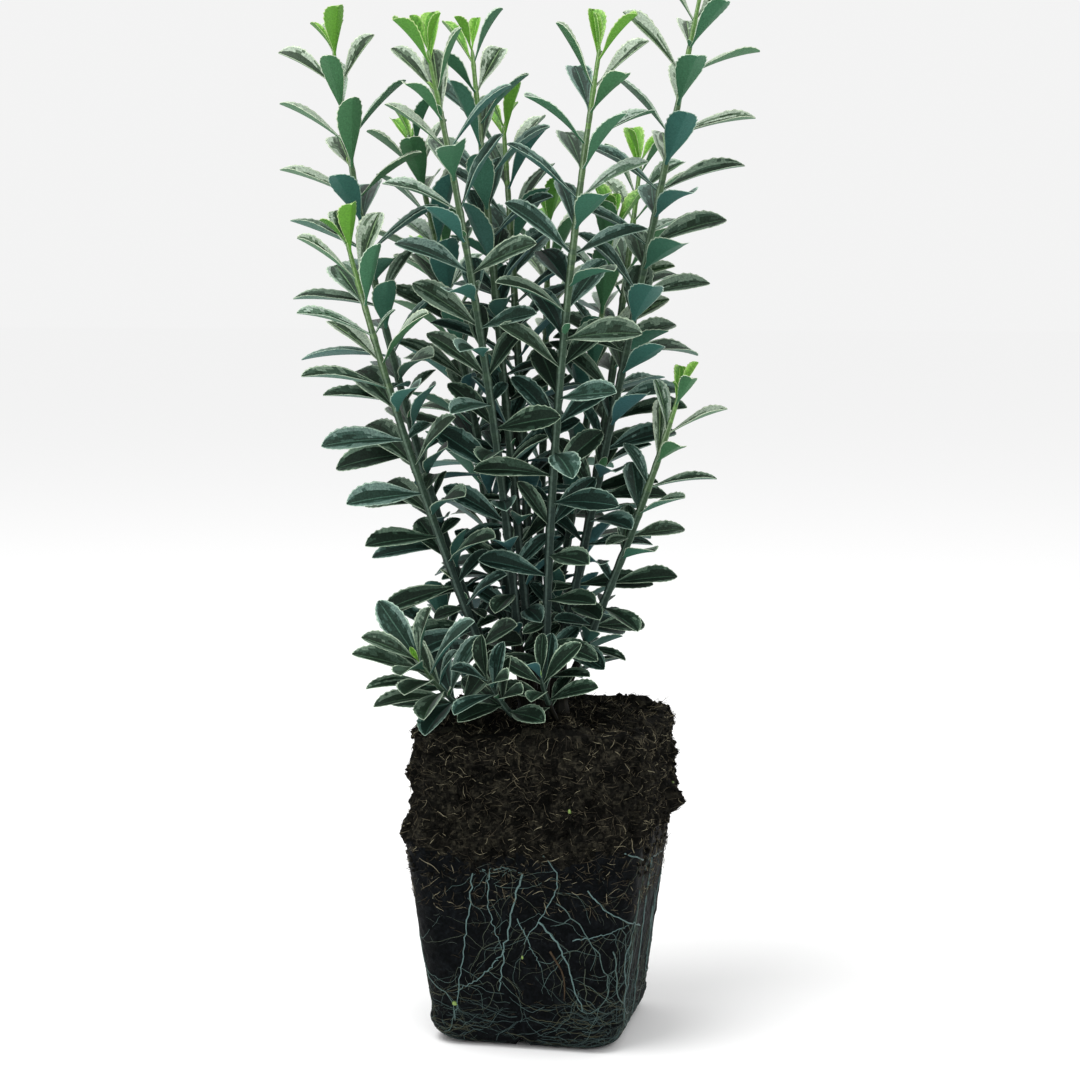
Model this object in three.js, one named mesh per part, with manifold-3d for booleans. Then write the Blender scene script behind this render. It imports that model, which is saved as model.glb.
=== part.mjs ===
// A young variegated euonymus: a clump of upright leafy shoots on a bare root ball, which keeps the shape of
// the square pot it grew in. Millimetres, +Z up. The origin is the centre of the ball's flat underside, and
// the ball's sides face X and Y.
import * as THREE from "three";
import { mergeVertices } from "three/addons/utils/BufferGeometryUtils.js";
import Module from "manifold-3d";

const wasm = await Module();
wasm.setup();

// Root ball
const BALL_HEIGHT = 158.5;
const BALL_FOOT_HALF = 38; // half the width of the flat underside
const BALL_HEEL_HALF = 48.5; // half the width where the rounded heel meets the side
const BALL_HEEL_HEIGHT = 13;
const BALL_WIDEST_HALF = 60;
const BALL_WIDEST_HEIGHT = 108; // the moulded part ends here, and loose mulch lies above
const BALL_TOP_HALF = 57.5;
const BALL_SHOULDER = 5; // how far the top edge is rounded
const BALL_CORNER = 18;
const BALL_LUMP = 1.6; // how far the mulch swells and sinks
const BALL_SPILL = 3; // how far the mulch has slid to the right
const NOTCH_WIDTH = 8; // a rib under the pot left a notch in the middle of each side
const NOTCH_HEIGHT = 5;
const NOTCH_DEPTH = 24;

// Clearances
const SEAT_GAP = 0.3; // between pieces that stand on each other
const LEAF_GAP = 0.4; // between a leaf and the leaves and limbs of other shoots
const SPACE_SHARED = 22; // how much nearer to another shoot's stem than to its own a leaf may come
const OWN_START = 0.3; // leaves of one shoot may meet within this share of their length from the root
const SOIL_GAP = 2;
const SHORTEST_EDGE = 0.03; // edges that a join leaves shorter than this are closed up

// Stems
const CROWN_TURN = 12; // degrees from the ball's sides to the clump's own left and right
const CROWN_MIDDLE = 290;
const MAIN_HEIGHT = 12; // a main stem's length, from the soil to its fork
const MAIN_RADIUS = 4.2;
const MAIN_FLARE = 1.4; // added to the radius at the soil
const MAIN_FORK = 1.2; // added to the radius at the fork
const SEAT_RING = 3.5; // how far from a fork's middle its boughs stand
const SHOOT_RADIUS = 2.2;
const TWIG_RADIUS = 1.5;
const TIP_SHARE = 0.42; // a shoot's radius at its tip, as a share of the radius at its foot
const BOUGH_LENGTH = 14; // the bare foot of a shoot, below its leaves
const TWIG_BOUGH_LENGTH = 7;
const MAIN_SIDES = 8;
const BOUGH_SIDES = 6;
const BOUGH_RINGS = 4;
const STEM_SIDES = 4; // the green stems are four-angled
const STEM_SECTION = 26; // about how long each straight piece of a leafy stem is
const PATH_SECTION = 24; // and of the line that measures the space round it

// Leaves, in opposite pairs, each pair square to the last. From a shoot's tip down to its foot: the leaf's
// length, the degrees between it and its stem, and the length of stem down to the next pair.
const LEAF_STATIONS = [
  { below: 0, length: 17, lean: 12, gap: 5 },
  { below: 0.02, length: 31, lean: 23, gap: 13.5 },
  { below: 0.13, length: 42, lean: 37, gap: 14 },
  { below: 0.35, length: 45, lean: 52, gap: 13.5 },
  { below: 0.7, length: 42, lean: 62, gap: 12 },
  { below: 1, length: 34, lean: 78, gap: 8.5 },
];
const TWIG_LEAF = 0.78; // a low twig's leaves, as a share of a shoot's
const TWIG_GAP = 0.36;
const LEAF_WIDTH_SHARE = 0.38;
const LEAF_THICKNESS = 1.1;
const LEAF_WIDEST = 0.6; // where a leaf is widest, as a share of its length
const LEAF_BLUNT = 0.36; // its width near the tip, as a share of its greatest width
const LEAF_FOLD = 0.2; // how far the midrib lies below the edges, as a share of the width
const LEAF_CURL = 32; // degrees that a leaf bends back from its root to its tip
const LEAF_ROLL_TOP = 18; // most degrees that chance rolls a leaf about its midrib, at a shoot's tip
const LEAF_ROLL_LOW = 28; // and at its foot
const LIGHT = new THREE.Vector3(0, -0.8, 0.6); // the light comes from the front and above
const LIGHT_TURN = 0.75; // how strongly a leaf turns its upper face to the light
const LEAF_SINK = 0.6; // how far past the stem's middle a leaf's root is sunk, as a share of the radius

// A leaf that would leave its space is tried in these ways before it is skipped.
const TRIES = [
  { size: 1, lean: 0, turn: 0 },
  { size: 1, lean: -12, turn: 0 },
  { size: 1, lean: 0, turn: 14 },
  { size: 1, lean: 0, turn: -14 },
  { size: 0.92, lean: -20, turn: 8 },
  { size: 0.92, lean: 10, turn: -8 },
  { size: 0.82, lean: -26, turn: -14 },
  { size: 0.82, lean: 0, turn: 20 },
  { size: 0.72, lean: -30, turn: 0 },
];

// Main stems: where they leave the soil, to the right (u) and away (w) from the ball's middle
const MAIN_STEMS = {
  left: { u: -19, w: -5 },
  middle: { u: -7, w: -1 },
  right: { u: 9, w: 3 },
  rear: { u: -3, w: 14 },
};

// Shoots: the main stem that each leaves, the seat's angle on its fork, the tip, how far the middle bows
// outward, and the angle of the topmost leaves. The front right shoot rises from the soil by itself.
const SHOOTS = [
  { name: "front_right", foot: { u: 2, w: -13 }, tip: [28, -28, 486], bow: -7, turn: 24 },
  { name: "front_left", main: "middle", seat: 235, tip: [-54, -30, 485], bow: -6, turn: -15 },
  { name: "left_front", main: "left", seat: 235, tip: [-94, -20, 394], bow: 4, turn: 30 },
  { name: "left_tall", main: "left", seat: 110, tip: [-103, 18, 490], bow: 11, turn: 10 },
  { name: "middle", main: "middle", seat: 20, tip: [-34, 10, 489], bow: 0, turn: 64 },
  { name: "middle_rear", main: "middle", seat: 130, tip: [-66, 44, 448], bow: -4, turn: 10 },
  { name: "rear_tall", main: "rear", seat: 270, tip: [-19, 42, 454], bow: -2, turn: 33 },
  { name: "rear_left", main: "rear", seat: 180, tip: [-52, 76, 392], bow: 5, turn: 52 },
  { name: "rear", main: "rear", seat: 90, tip: [4, 74, 408], bow: 4, turn: 15 },
  { name: "rear_right", main: "rear", seat: 0, tip: [37, 49, 404], bow: 3, turn: 81 },
  { name: "right_rear", main: "right", seat: 95, tip: [52, 72, 438], bow: 5, turn: 28 },
  { name: "right_tall", main: "right", seat: 205, tip: [80, 18, 522], bow: 1, turn: 12 },
  { name: "right_low", main: "right", seat: 335, tip: [68, -14, 321], bow: 3, turn: 15, size: 0.82 },
];

// Low twigs that rise from the soil round the clump
const TWIGS = [
  { name: "low_left", foot: { u: -31, w: -19 }, tip: [-59, -46, 193], bow: 3, turn: 0, size: 1.3 },
  { name: "low_front", foot: { u: -10, w: -27 }, tip: [-26, -47, 184], bow: 2, turn: 45 },
  { name: "low_right", foot: { u: 8, w: -21 }, tip: [0, -38, 184], bow: 2, turn: 70, size: 0.85 },
  { name: "low_rear", foot: { u: 12, w: 30 }, tip: [12, 52, 202], bow: 3, turn: 66 },
  { name: "low_side", foot: { u: -30, w: 13 }, tip: [-50, 30, 204], bow: 3, turn: 20 },
];

const UP = new THREE.Vector3(0, 0, 1);
const radians = THREE.MathUtils.degToRad;
const mix = THREE.MathUtils.lerp;
const rise = THREE.MathUtils.smoothstep;

// Repeatable random numbers from 0 to 1.
function seeded(seed) {
  let state = seed >>> 0;
  return () => {
    state = (Math.imul(state, 1664525) + 1013904223) >>> 0;
    return state / 4294967296;
  };
}

// Solids

// A closed geometry of positions and triangles as a solid.
function solidOf(geometry) {
  const merged = mergeVertices(geometry, 1e-4);
  return new wasm.Manifold(
    new wasm.Mesh({
      numProp: 3,
      vertProperties: merged.attributes.position.array,
      triVerts: new Uint32Array(merged.index.array),
    }),
  );
}

function solidFrom(points, triangles) {
  const geometry = new THREE.BufferGeometry().setFromPoints(points);
  geometry.setIndex(triangles);
  return solidOf(geometry);
}

// A closed skin over rings of points that run the same way round, with flat ends.
function loft(rings) {
  const size = rings[0].length;
  const triangles = [];
  for (let r = 0; r + 1 < rings.length; r++) {
    for (let i = 0; i < size; i++) {
      const j = (i + 1) % size;
      const low = r * size;
      const high = low + size;
      triangles.push(low + i, low + j, high + j, low + i, high + j, high + i);
    }
  }
  const last = (rings.length - 1) * size;
  for (let i = 1; i + 1 < size; i++) {
    triangles.push(0, i + 1, i);
    triangles.push(last, last + i, last + i + 1);
  }
  return solidFrom(rings.flat(), triangles);
}

// A solid's outer skin: what a hollow shuts in is filled, and loose scraps are dropped.
function outerSkin(solid) {
  return solid.decompose().reduce((a, b) => (b.volume() > a.volume() ? b : a));
}

// Triangles whose edges shorter than the shortest that is kept are closed up to one of their ends.
function withoutShortEdges(points, triangles) {
  const faces = [];
  for (let i = 0; i < triangles.length; i += 3) {
    faces.push([triangles[i], triangles[i + 1], triangles[i + 2]]);
  }
  const around = points.map(() => new Set());
  const link = (face) => face.forEach((v) => around[v].add(face));
  faces.forEach(link);
  const neighbours = (v) => new Set([...around[v]].flat().filter((other) => other !== v));
  const kept = new Set(faces);
  const close = (from, to) => {
    const shared = [...neighbours(from)].filter((v) => neighbours(to).has(v));
    if (shared.length !== 2) {
      return false;
    }
    for (const face of [...around[from]]) {
      face.forEach((v) => around[v].delete(face));
      if (face.includes(to)) {
        kept.delete(face);
      } else {
        face[face.indexOf(from)] = to;
        link(face);
      }
    }
    return true;
  };
  let found = true;
  while (found) {
    found = false;
    for (const face of faces) {
      for (let k = 0; k < 3 && kept.has(face); k++) {
        const [a, b] = [face[k], face[(k + 1) % 3]];
        found = (points[a].distanceTo(points[b]) < SHORTEST_EDGE && close(a, b)) || found;
      }
    }
  }
  return [...kept].flat();
}

function geometryFrom(solid) {
  const mesh = solid.getMesh();
  const points = Array.from({ length: mesh.numVert }, (_, i) =>
    new THREE.Vector3().fromArray(mesh.vertProperties, i * mesh.numProp),
  );
  const geometry = new THREE.BufferGeometry().setFromPoints(points);
  geometry.setIndex(withoutShortEdges(points, mesh.triVerts));
  geometry.computeVertexNormals();
  return geometry;
}

// Root ball

function roundedSquare(half, corner, height, lump) {
  const points = [];
  const steps = 4;
  const flat = half - corner;
  for (let quarter = 0; quarter < 4; quarter++) {
    const middle = radians(45 + 90 * quarter);
    const cx = Math.sign(Math.cos(middle)) * flat;
    const cy = Math.sign(Math.sin(middle)) * flat;
    for (let i = 0; i <= steps; i++) {
      const angle = radians(90 * quarter + (90 * i) / steps);
      const swell = corner + lump();
      points.push(new THREE.Vector3(cx + swell * Math.cos(angle), cy + swell * Math.sin(angle), height));
    }
  }
  return points;
}

function rootBall() {
  const random = seeded(11);
  const smooth = () => 0;
  const mulch = () => BALL_LUMP * (2 * random() - 1);
  const rings = [];
  const heelSteps = 3;
  for (let i = 0; i <= heelSteps; i++) {
    const angle = radians((90 * i) / heelSteps);
    const half = mix(BALL_FOOT_HALF, BALL_HEEL_HALF, Math.sin(angle));
    const height = BALL_HEEL_HEIGHT * (1 - Math.cos(angle));
    rings.push(roundedSquare(half, BALL_CORNER * 0.8, height, smooth));
  }
  for (const share of [0.5, 1]) {
    const half = mix(BALL_HEEL_HALF, BALL_WIDEST_HALF, share);
    const height = mix(BALL_HEEL_HEIGHT, BALL_WIDEST_HEIGHT, share);
    rings.push(roundedSquare(half, BALL_CORNER, height, smooth));
  }
  const mulchHeight = BALL_HEIGHT - BALL_SHOULDER - BALL_WIDEST_HEIGHT;
  for (const share of [0.16, 0.4, 0.7, 1]) {
    const half = mix(BALL_WIDEST_HALF, BALL_TOP_HALF, Math.min(1, share * 2.2));
    rings.push(roundedSquare(half, BALL_CORNER, BALL_WIDEST_HEIGHT + mulchHeight * share, mulch));
  }
  rings.push(roundedSquare(BALL_TOP_HALF - BALL_SHOULDER, BALL_CORNER - BALL_SHOULDER, BALL_HEIGHT, smooth));
  for (const point of rings.flat()) {
    point.x += BALL_SPILL * rise(point.z, BALL_WIDEST_HEIGHT - 2, BALL_WIDEST_HEIGHT + 8);
  }
  return [0, 90, 180, 270].reduce((ball, turn) => ball.subtract(footNotch(turn)), loft(rings));
}

// The hollow that a rib of the pot left, running in from the middle of one side.
function footNotch(turn) {
  const half = NOTCH_WIDTH / 2;
  const arch = new THREE.Shape();
  arch.moveTo(-half, -NOTCH_HEIGHT);
  arch.lineTo(half, -NOTCH_HEIGHT);
  arch.lineTo(half, 0);
  arch.quadraticCurveTo(half * 0.8, NOTCH_HEIGHT, 0, NOTCH_HEIGHT);
  arch.quadraticCurveTo(-half * 0.8, NOTCH_HEIGHT, -half, 0);
  const length = NOTCH_DEPTH + BALL_HEEL_HALF - BALL_FOOT_HALF;
  const geometry = new THREE.ExtrudeGeometry(arch, { depth: length, bevelEnabled: false, curveSegments: 3 });
  geometry.rotateX(radians(90));
  geometry.translate(0, NOTCH_DEPTH - BALL_FOOT_HALF, 0);
  geometry.rotateZ(radians(turn));
  geometry.deleteAttribute("normal");
  geometry.deleteAttribute("uv");
  return solidOf(geometry);
}

// Limbs

// A direction square to an axis, at an angle round it.
function squareTo(axis, degrees) {
  const turn = new THREE.Quaternion().setFromUnitVectors(UP, axis);
  const angle = radians(degrees);
  return new THREE.Vector3(Math.cos(angle), Math.sin(angle), 0).applyQuaternion(turn);
}

// A shoot's whole line, from its foot to its tip, with its radius and its length.
function shootLine(shoot, twig) {
  const main = MAIN_STEMS[shoot.main];
  const seat = radians(shoot.seat ?? 0);
  const foot = main
    ? new THREE.Vector3(
        main.u + SEAT_RING * Math.cos(seat),
        main.w + SEAT_RING * Math.sin(seat),
        BALL_HEIGHT + SEAT_GAP + MAIN_HEIGHT + SEAT_GAP,
      )
    : new THREE.Vector3(shoot.foot.u, shoot.foot.w, BALL_HEIGHT + SEAT_GAP);
  const tip = new THREE.Vector3(...shoot.tip);
  const outward = new THREE.Vector3(tip.x - foot.x, tip.y - foot.y, 0).normalize();
  const control = foot.clone().lerp(tip, 0.5).addScaledVector(outward, 2 * shoot.bow);
  const curve = new THREE.QuadraticBezierCurve3(foot, control, tip);
  const radius = twig ? TWIG_RADIUS : SHOOT_RADIUS;
  const bare = twig ? TWIG_BOUGH_LENGTH : BOUGH_LENGTH;
  return { ...shoot, twig, curve, length: curve.getLength(), radius, bare };
}

function radiusAt(line, share) {
  return line.radius * mix(1, TIP_SHARE, 0.35 * share + 0.65 * share ** 5);
}

// The rings of a tapering limb along part of a shoot's line, from one distance to another along it.
function limbRings(line, from, to, sides, count) {
  return Array.from({ length: count }, (_, i) => {
    const share = mix(from, to, i / (count - 1)) / line.length;
    const centre = line.curve.getPointAt(share);
    const axis = line.curve.getTangentAt(share);
    return Array.from({ length: sides }, (_, k) => {
      const side = squareTo(axis, line.turn + 45 + (360 * k) / sides);
      return centre.clone().addScaledVector(side, radiusAt(line, share));
    });
  });
}

// The bare foot of a shoot, cut level where it stands on the soil or on its main stem.
function bough(line) {
  const rings = limbRings(line, 0, line.bare, BOUGH_SIDES, BOUGH_RINGS);
  const foot = line.curve.getPointAt(0);
  const axis = line.curve.getTangentAt(0);
  for (const point of rings[0]) {
    point.addScaledVector(axis, (foot.z - point.z) / axis.z);
  }
  return loft(rings);
}

function mainStem(at) {
  const stations = [
    { share: 0, added: MAIN_FLARE },
    { share: 0.25, added: MAIN_FLARE * 0.4 },
    { share: 0.55, added: 0 },
    { share: 1, added: MAIN_FORK },
  ];
  const loops = stations.map(({ share, added }) => {
    const radius = MAIN_RADIUS + added;
    const height = BALL_HEIGHT + SEAT_GAP + MAIN_HEIGHT * share;
    return Array.from({ length: MAIN_SIDES }, (_, k) => {
      const angle = radians((360 * k) / MAIN_SIDES);
      return new THREE.Vector3(at.u + radius * Math.cos(angle), at.w + radius * Math.sin(angle), height);
    });
  });
  return loft(loops);
}

// Leaves

// A leaf's measures at a share of the shoot's length below its tip.
function stationAt(below) {
  const found = LEAF_STATIONS.findIndex((station) => station.below >= below);
  const next = Math.max(1, found);
  const [a, b] = [LEAF_STATIONS[next - 1], LEAF_STATIONS[next]];
  const t = (below - a.below) / (b.below - a.below);
  return { length: mix(a.length, b.length, t), lean: mix(a.lean, b.lean, t), gap: mix(a.gap, b.gap, t) };
}

// The leaves that a shoot would bear, pair by pair from its tip to its foot.
function leavesOf(line, seed) {
  const random = seeded(seed);
  const spread = (amount) => amount * (2 * random() - 1);
  const size = (line.size ?? 1) * (line.twig ? TWIG_LEAF : 1);
  const leaves = [];
  let at = line.length - 1;
  let turn = line.turn;
  while (at > line.bare + 3) {
    const below = 1 - at / line.length;
    const station = stationAt(below);
    const pairTurn = turn + spread(14);
    for (const side of [0, 180]) {
      const length = station.length * size * (1 + spread(0.08));
      const leaf = {
        line,
        at,
        azimuth: pairTurn + side + spread(8),
        length,
        width: length * LEAF_WIDTH_SHARE * (1 + spread(0.1)),
        lean: station.lean + spread(8),
        curl: LEAF_CURL * (1 + spread(0.5)),
        roll: spread(mix(LEAF_ROLL_TOP, LEAF_ROLL_LOW, below)),
      };
      leaves.push({ ...leaf, points: leafPoints(leaf) });
    }
    turn += 90;
    at -= station.gap * (line.twig ? TWIG_GAP : 1) * (1 + spread(0.12));
  }
  return leaves;
}

// One leaf's points: its root in the stem, its blunt outline, and the middle of its underside.
function leafPoints(leaf) {
  const share = leaf.at / leaf.line.length;
  const axis = leaf.line.curve.getTangentAt(share);
  const out = squareTo(axis, leaf.azimuth);
  const sunk = LEAF_SINK * radiusAt(leaf.line, share);
  const root = leaf.line.curve.getPointAt(share).addScaledVector(out, -sunk);
  const lean = radians(leaf.lean);
  const along = axis.clone().multiplyScalar(Math.cos(lean)).addScaledVector(out, Math.sin(lean));
  const face = axis.clone().multiplyScalar(Math.sin(lean)).addScaledVector(out, -Math.cos(lean));
  const sideLight = LIGHT.clone().addScaledVector(along, -LIGHT.dot(along));
  face.addScaledVector(sideLight, LIGHT_TURN).normalize();
  face.applyAxisAngle(along, radians(leaf.roll));
  const side = new THREE.Vector3().crossVectors(along, face);
  const bend = radians(leaf.curl);
  const at = (t, across, height) => {
    const cos = Math.cos(bend * t);
    const sin = Math.sin(bend * t);
    return root
      .clone()
      .addScaledVector(along, (leaf.length * sin) / bend + height * sin)
      .addScaledVector(face, (leaf.length * (cos - 1)) / bend + height * cos)
      .addScaledVector(side, (across * leaf.width) / 2);
  };
  return [
    root,
    at(LEAF_WIDEST, 1, LEAF_FOLD * leaf.width),
    at(1, LEAF_BLUNT, 0),
    at(1, -LEAF_BLUNT, 0),
    at(LEAF_WIDEST, -1, LEAF_FOLD * leaf.width),
    at(LEAF_WIDEST, 0, -LEAF_THICKNESS),
  ];
}

function leafSolid(points) {
  const triangles = [0, 1, 4, 1, 2, 3, 1, 3, 4];
  for (let i = 0; i < 5; i++) {
    triangles.push((i + 1) % 5, i, 5);
  }
  return solidFrom(points, triangles);
}

// The space that keeps shoots apart. A leaf or a stretch of limb is tested as convex bodies: each is a few
// points swollen by a radius, with the directions that could show it to be clear of another.

function body(points, normals, edges, radius) {
  const centre = points.reduce((sum, p) => sum.add(p), new THREE.Vector3()).divideScalar(points.length);
  const reach = Math.max(...points.map((p) => p.distanceTo(centre))) + radius;
  return { points, normals, edges, radius, centre, reach };
}

function limbBody(from, to, radius) {
  return body([from, to], [], [to.clone().sub(from)], radius);
}

function planeOf(a, b, c) {
  return new THREE.Vector3().crossVectors(b.clone().sub(a), c.clone().sub(a)).normalize();
}

// The two halves of a leaf, each side of its midrib, starting at a share of its length from the root.
function leafHalves(points, start) {
  const [root, left, leftTip, rightTip, right, rib] = points;
  const tip = leftTip.clone().lerp(rightTip, 0.5);
  const top = left.clone().lerp(right, 0.5);
  const upper = planeOf(root, left, right);
  const half = (edge, corner) =>
    body(
      [root.clone().lerp(rib, start), root.clone().lerp(edge, start), edge, corner, tip, rib, top],
      [planeOf(root, edge, rib), planeOf(edge, corner, rib), upper, planeOf(edge, corner, top)],
      [edge.clone().sub(root), corner.clone().sub(edge), rib.clone().sub(tip), rib.clone().sub(root)],
      0,
    );
  return [half(left, leftTip), half(right, rightTip)];
}

// How far apart two bodies lie along a direction, less than 0 where they overlap.
function separation(a, b, axis) {
  const alongA = a.points.map((p) => p.dot(axis));
  const alongB = b.points.map((p) => p.dot(axis));
  const ahead = Math.min(...alongA) - Math.max(...alongB);
  const behind = Math.min(...alongB) - Math.max(...alongA);
  return Math.max(ahead, behind) - a.radius - b.radius;
}

// True if some direction shows the two bodies to be apart by the gap.
function apart(a, b, gap) {
  const between = b.centre.clone().sub(a.centre);
  if (between.length() > a.reach + b.reach + gap) {
    return true;
  }
  const axes = [...a.normals, ...b.normals, between.normalize()];
  for (const edge of a.edges) {
    for (const other of b.edges) {
      axes.push(new THREE.Vector3().crossVectors(edge, other));
    }
  }
  return axes.some((axis) => axis.lengthSq() > 1e-6 && separation(a, b, axis.normalize()) >= gap);
}

function allApart(bodies, others, gap) {
  return others.every((other) => bodies.every((one) => apart(one, other, gap)));
}

// A stretch of a shoot's line as straight segments.
function segmentsOf(line, from, to) {
  const pieces = Math.ceil((to - from) / PATH_SECTION);
  const at = (i) => line.curve.getPointAt(mix(from, to, i / pieces) / line.length);
  return Array.from({ length: pieces }, (_, i) => new THREE.Line3(at(i), at(i + 1)));
}

function distanceTo(segments, point) {
  const nearest = new THREE.Vector3();
  const distances = segments.map((s) => s.closestPointToPoint(point, true, nearest).distanceTo(point));
  return Math.min(...distances);
}

// True if a leaf stays in its own shoot's space: above the soil, near its own stem, clear of the limbs and of
// the leaves and stems of other shoots, and not crossing the leaves of its own.
function keepsItsSpace(points, line) {
  const blade = points.slice(1);
  if (blade.some((p) => p.z < BALL_HEIGHT + SOIL_GAP)) {
    return false;
  }
  const others = lines.filter((other) => other !== line);
  const strays = blade.some((point) => {
    const own = distanceTo(line.path, point);
    return others.some((other) => distanceTo(other.path, point) < own - SPACE_SHARED);
  });
  if (strays) {
    return false;
  }
  const halves = leafHalves(points, 0);
  const obstacles = [limbs, ...others.flatMap((other) => [other.stem, other.halves])];
  return (
    obstacles.every((bodies) => allApart(halves, bodies, LEAF_GAP)) &&
    allApart(leafHalves(points, OWN_START), line.blades, 0)
  );
}

// Puts a leaf on its shoot, in the first way of trying it that keeps its space.
function grow(leaf) {
  for (const attempt of TRIES) {
    const points = leafPoints({
      ...leaf,
      length: leaf.length * attempt.size,
      width: leaf.width * attempt.size,
      lean: leaf.lean + attempt.lean,
      azimuth: leaf.azimuth + attempt.turn,
    });
    if (keepsItsSpace(points, leaf.line)) {
      leaf.line.leaves.push(points);
      leaf.line.halves.push(...leafHalves(points, 0));
      leaf.line.blades.push(...leafHalves(points, OWN_START));
      return;
    }
  }
}

// A shoot's four-angled stem above its bare foot, with its leaves fused to it.
function foliage(line) {
  const count = 1 + Math.max(2, Math.round((line.length - line.bare) / STEM_SECTION));
  const stem = loft(limbRings(line, line.bare + SEAT_GAP, line.length, STEM_SIDES, count));
  return outerSkin(line.leaves.map(leafSolid).reduce((joined, leaf) => joined.add(leaf), stem));
}

// The plant

const lines = [
  ...SHOOTS.map((shoot) => shootLine(shoot, false)),
  ...TWIGS.map((twig) => shootLine(twig, true)),
];
for (const line of lines) {
  line.path = segmentsOf(line, 0, line.length);
  const leafy = segmentsOf(line, line.bare, line.length);
  line.stem = leafy.map((piece) => limbBody(piece.start, piece.end, line.radius));
  line.leaves = [];
  line.halves = [];
  line.blades = [];
}
const limbs = [
  ...Object.values(MAIN_STEMS).map(({ u, w }) => {
    const fork = new THREE.Vector3(u, w, BALL_HEIGHT + MAIN_HEIGHT);
    return limbBody(new THREE.Vector3(u, w, BALL_HEIGHT), fork, MAIN_RADIUS + MAIN_FLARE);
  }),
  ...lines.map((line) => {
    const [foot] = segmentsOf(line, 0, line.bare);
    return limbBody(foot.start, foot.end, line.radius);
  }),
];

// The outermost leaves grow first, so that the crown's outline is whole.
const crownMiddle = new THREE.Vector3(0, 0, CROWN_MIDDLE);
const wanted = lines.flatMap((line, i) => leavesOf(line, 100 + 7 * i));
wanted.sort((a, b) => b.points[2].distanceTo(crownMiddle) - a.points[2].distanceTo(crownMiddle));
wanted.forEach(grow);

const soil = new THREE.MeshStandardMaterial({ color: 0x231f19, roughness: 0.95, metalness: 0 });
const bark = new THREE.MeshStandardMaterial({ color: 0x5a6450, roughness: 0.8, metalness: 0 });
const leafGreen = new THREE.MeshStandardMaterial({ color: 0x3a5a41, roughness: 0.45, metalness: 0 });

function named(name, solid, material) {
  const mesh = new THREE.Mesh(geometryFrom(solid), material);
  mesh.name = name;
  return mesh;
}

const plant = new THREE.Group();
plant.add(named("root_ball", rootBall(), soil));
const crown = new THREE.Group();
crown.rotation.z = radians(CROWN_TURN);
for (const [name, at] of Object.entries(MAIN_STEMS)) {
  crown.add(named("main_stem_" + name, mainStem(at), bark));
}
for (const line of lines) {
  crown.add(named("bough_" + line.name, bough(line), bark));
  crown.add(named("foliage_" + line.name, foliage(line), leafGreen));
}
plant.add(crown);

export default plant;
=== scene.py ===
"""A young variegated euonymus on its bare root ball: the looks of every leaf, stem, root and crumb.

Sizes are millimetres, as in the part's source, until a mesh is made. The shoots and their leaves follow the
source's seeded rule, which is written again here and carried on to smaller leaves and buds.
"""

import math
from itertools import combinations

import bpy
import numpy as np
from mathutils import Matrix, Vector, noise


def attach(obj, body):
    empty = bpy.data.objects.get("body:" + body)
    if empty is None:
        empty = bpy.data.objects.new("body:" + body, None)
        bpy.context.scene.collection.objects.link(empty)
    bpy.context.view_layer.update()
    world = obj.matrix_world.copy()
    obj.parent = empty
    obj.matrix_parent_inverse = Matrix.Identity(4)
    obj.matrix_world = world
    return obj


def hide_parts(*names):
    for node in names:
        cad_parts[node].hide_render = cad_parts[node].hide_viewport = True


MM = 0.001  # a millimetre in metres

# Root ball
BALL_HEIGHT = 158.5
BALL_FOOT_HALF = 38
BALL_HEEL_HALF = 48.5
BALL_HEEL_HEIGHT = 13
BALL_WIDEST_HALF = 60
BALL_WIDEST_HEIGHT = 108
BALL_TOP_HALF = 57.5
BALL_SHOULDER = 5  # how far the edge of its top is rounded
BALL_CORNER = 18  # the radius of its upright corners
BALL_SPILL = 3  # how far the loose mulch has slumped to the right
NOTCH_HALF = 4
NOTCH_HEIGHT = 5
NOTCH_INNER = 6  # how near the notches come to the middle of the underside

# Clearances
SEAT_GAP = 0.3
LEAF_GAP = 0.4
SPACE_SHARED = 22  # how far a leaf may reach into the space nearer to another shoot
OWN_START = 0.3  # the share of its length from which a leaf keeps clear of others on its shoot
SOIL_GAP = 2

# Stems
CROWN_TURN = 12
CROWN_MIDDLE = 290
MAIN_HEIGHT = 12
MAIN_RADIUS = 4.2
MAIN_FLARE = 1.4
MAIN_FORK = 1.2
SEAT_RING = 3.5
SHOOT_RADIUS = 2.2
TWIG_RADIUS = 1.5
TIP_SHARE = 0.42
BOUGH_LENGTH = 14
TWIG_BOUGH_LENGTH = 7
PATH_SECTION = 24

# Leaves: share of the shoot below its tip, length, degrees from the stem, stem to the next pair
LEAF_STATIONS = np.array([
    (0, 17, 12, 5),
    (0.02, 31, 23, 13.5),
    (0.13, 42, 37, 14),
    (0.35, 45, 52, 13.5),
    (0.7, 42, 62, 12),
    (1, 34, 78, 8.5),
])
TWIG_LEAF = 0.78  # how long a twig's leaves are, as a share of a shoot's
TWIG_GAP = 0.36  # how far apart its pairs are, as a share of a shoot's
LEAF_WIDTH_SHARE = 0.38
LEAF_THICKNESS = 1.1
LEAF_WIDEST = 0.6
LEAF_BLUNT = 0.36
LEAF_FOLD = 0.2
LEAF_CURL = 32
LEAF_ROLL_TOP = 18
LEAF_ROLL_LOW = 28
LIGHT = np.array([0, -0.8, 0.6])  # where upper faces turn
LIGHT_TURN = 0.75
LEAF_SINK = 0.6  # how deep a leaf starts in its stem, as a share of the stem's radius
TOP_PAIR_BELOW = 1  # how far below a shoot's tip its top pair is
LOW_PAIR_ABOVE = 3  # how far above its bare part its lowest pair may be

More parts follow.
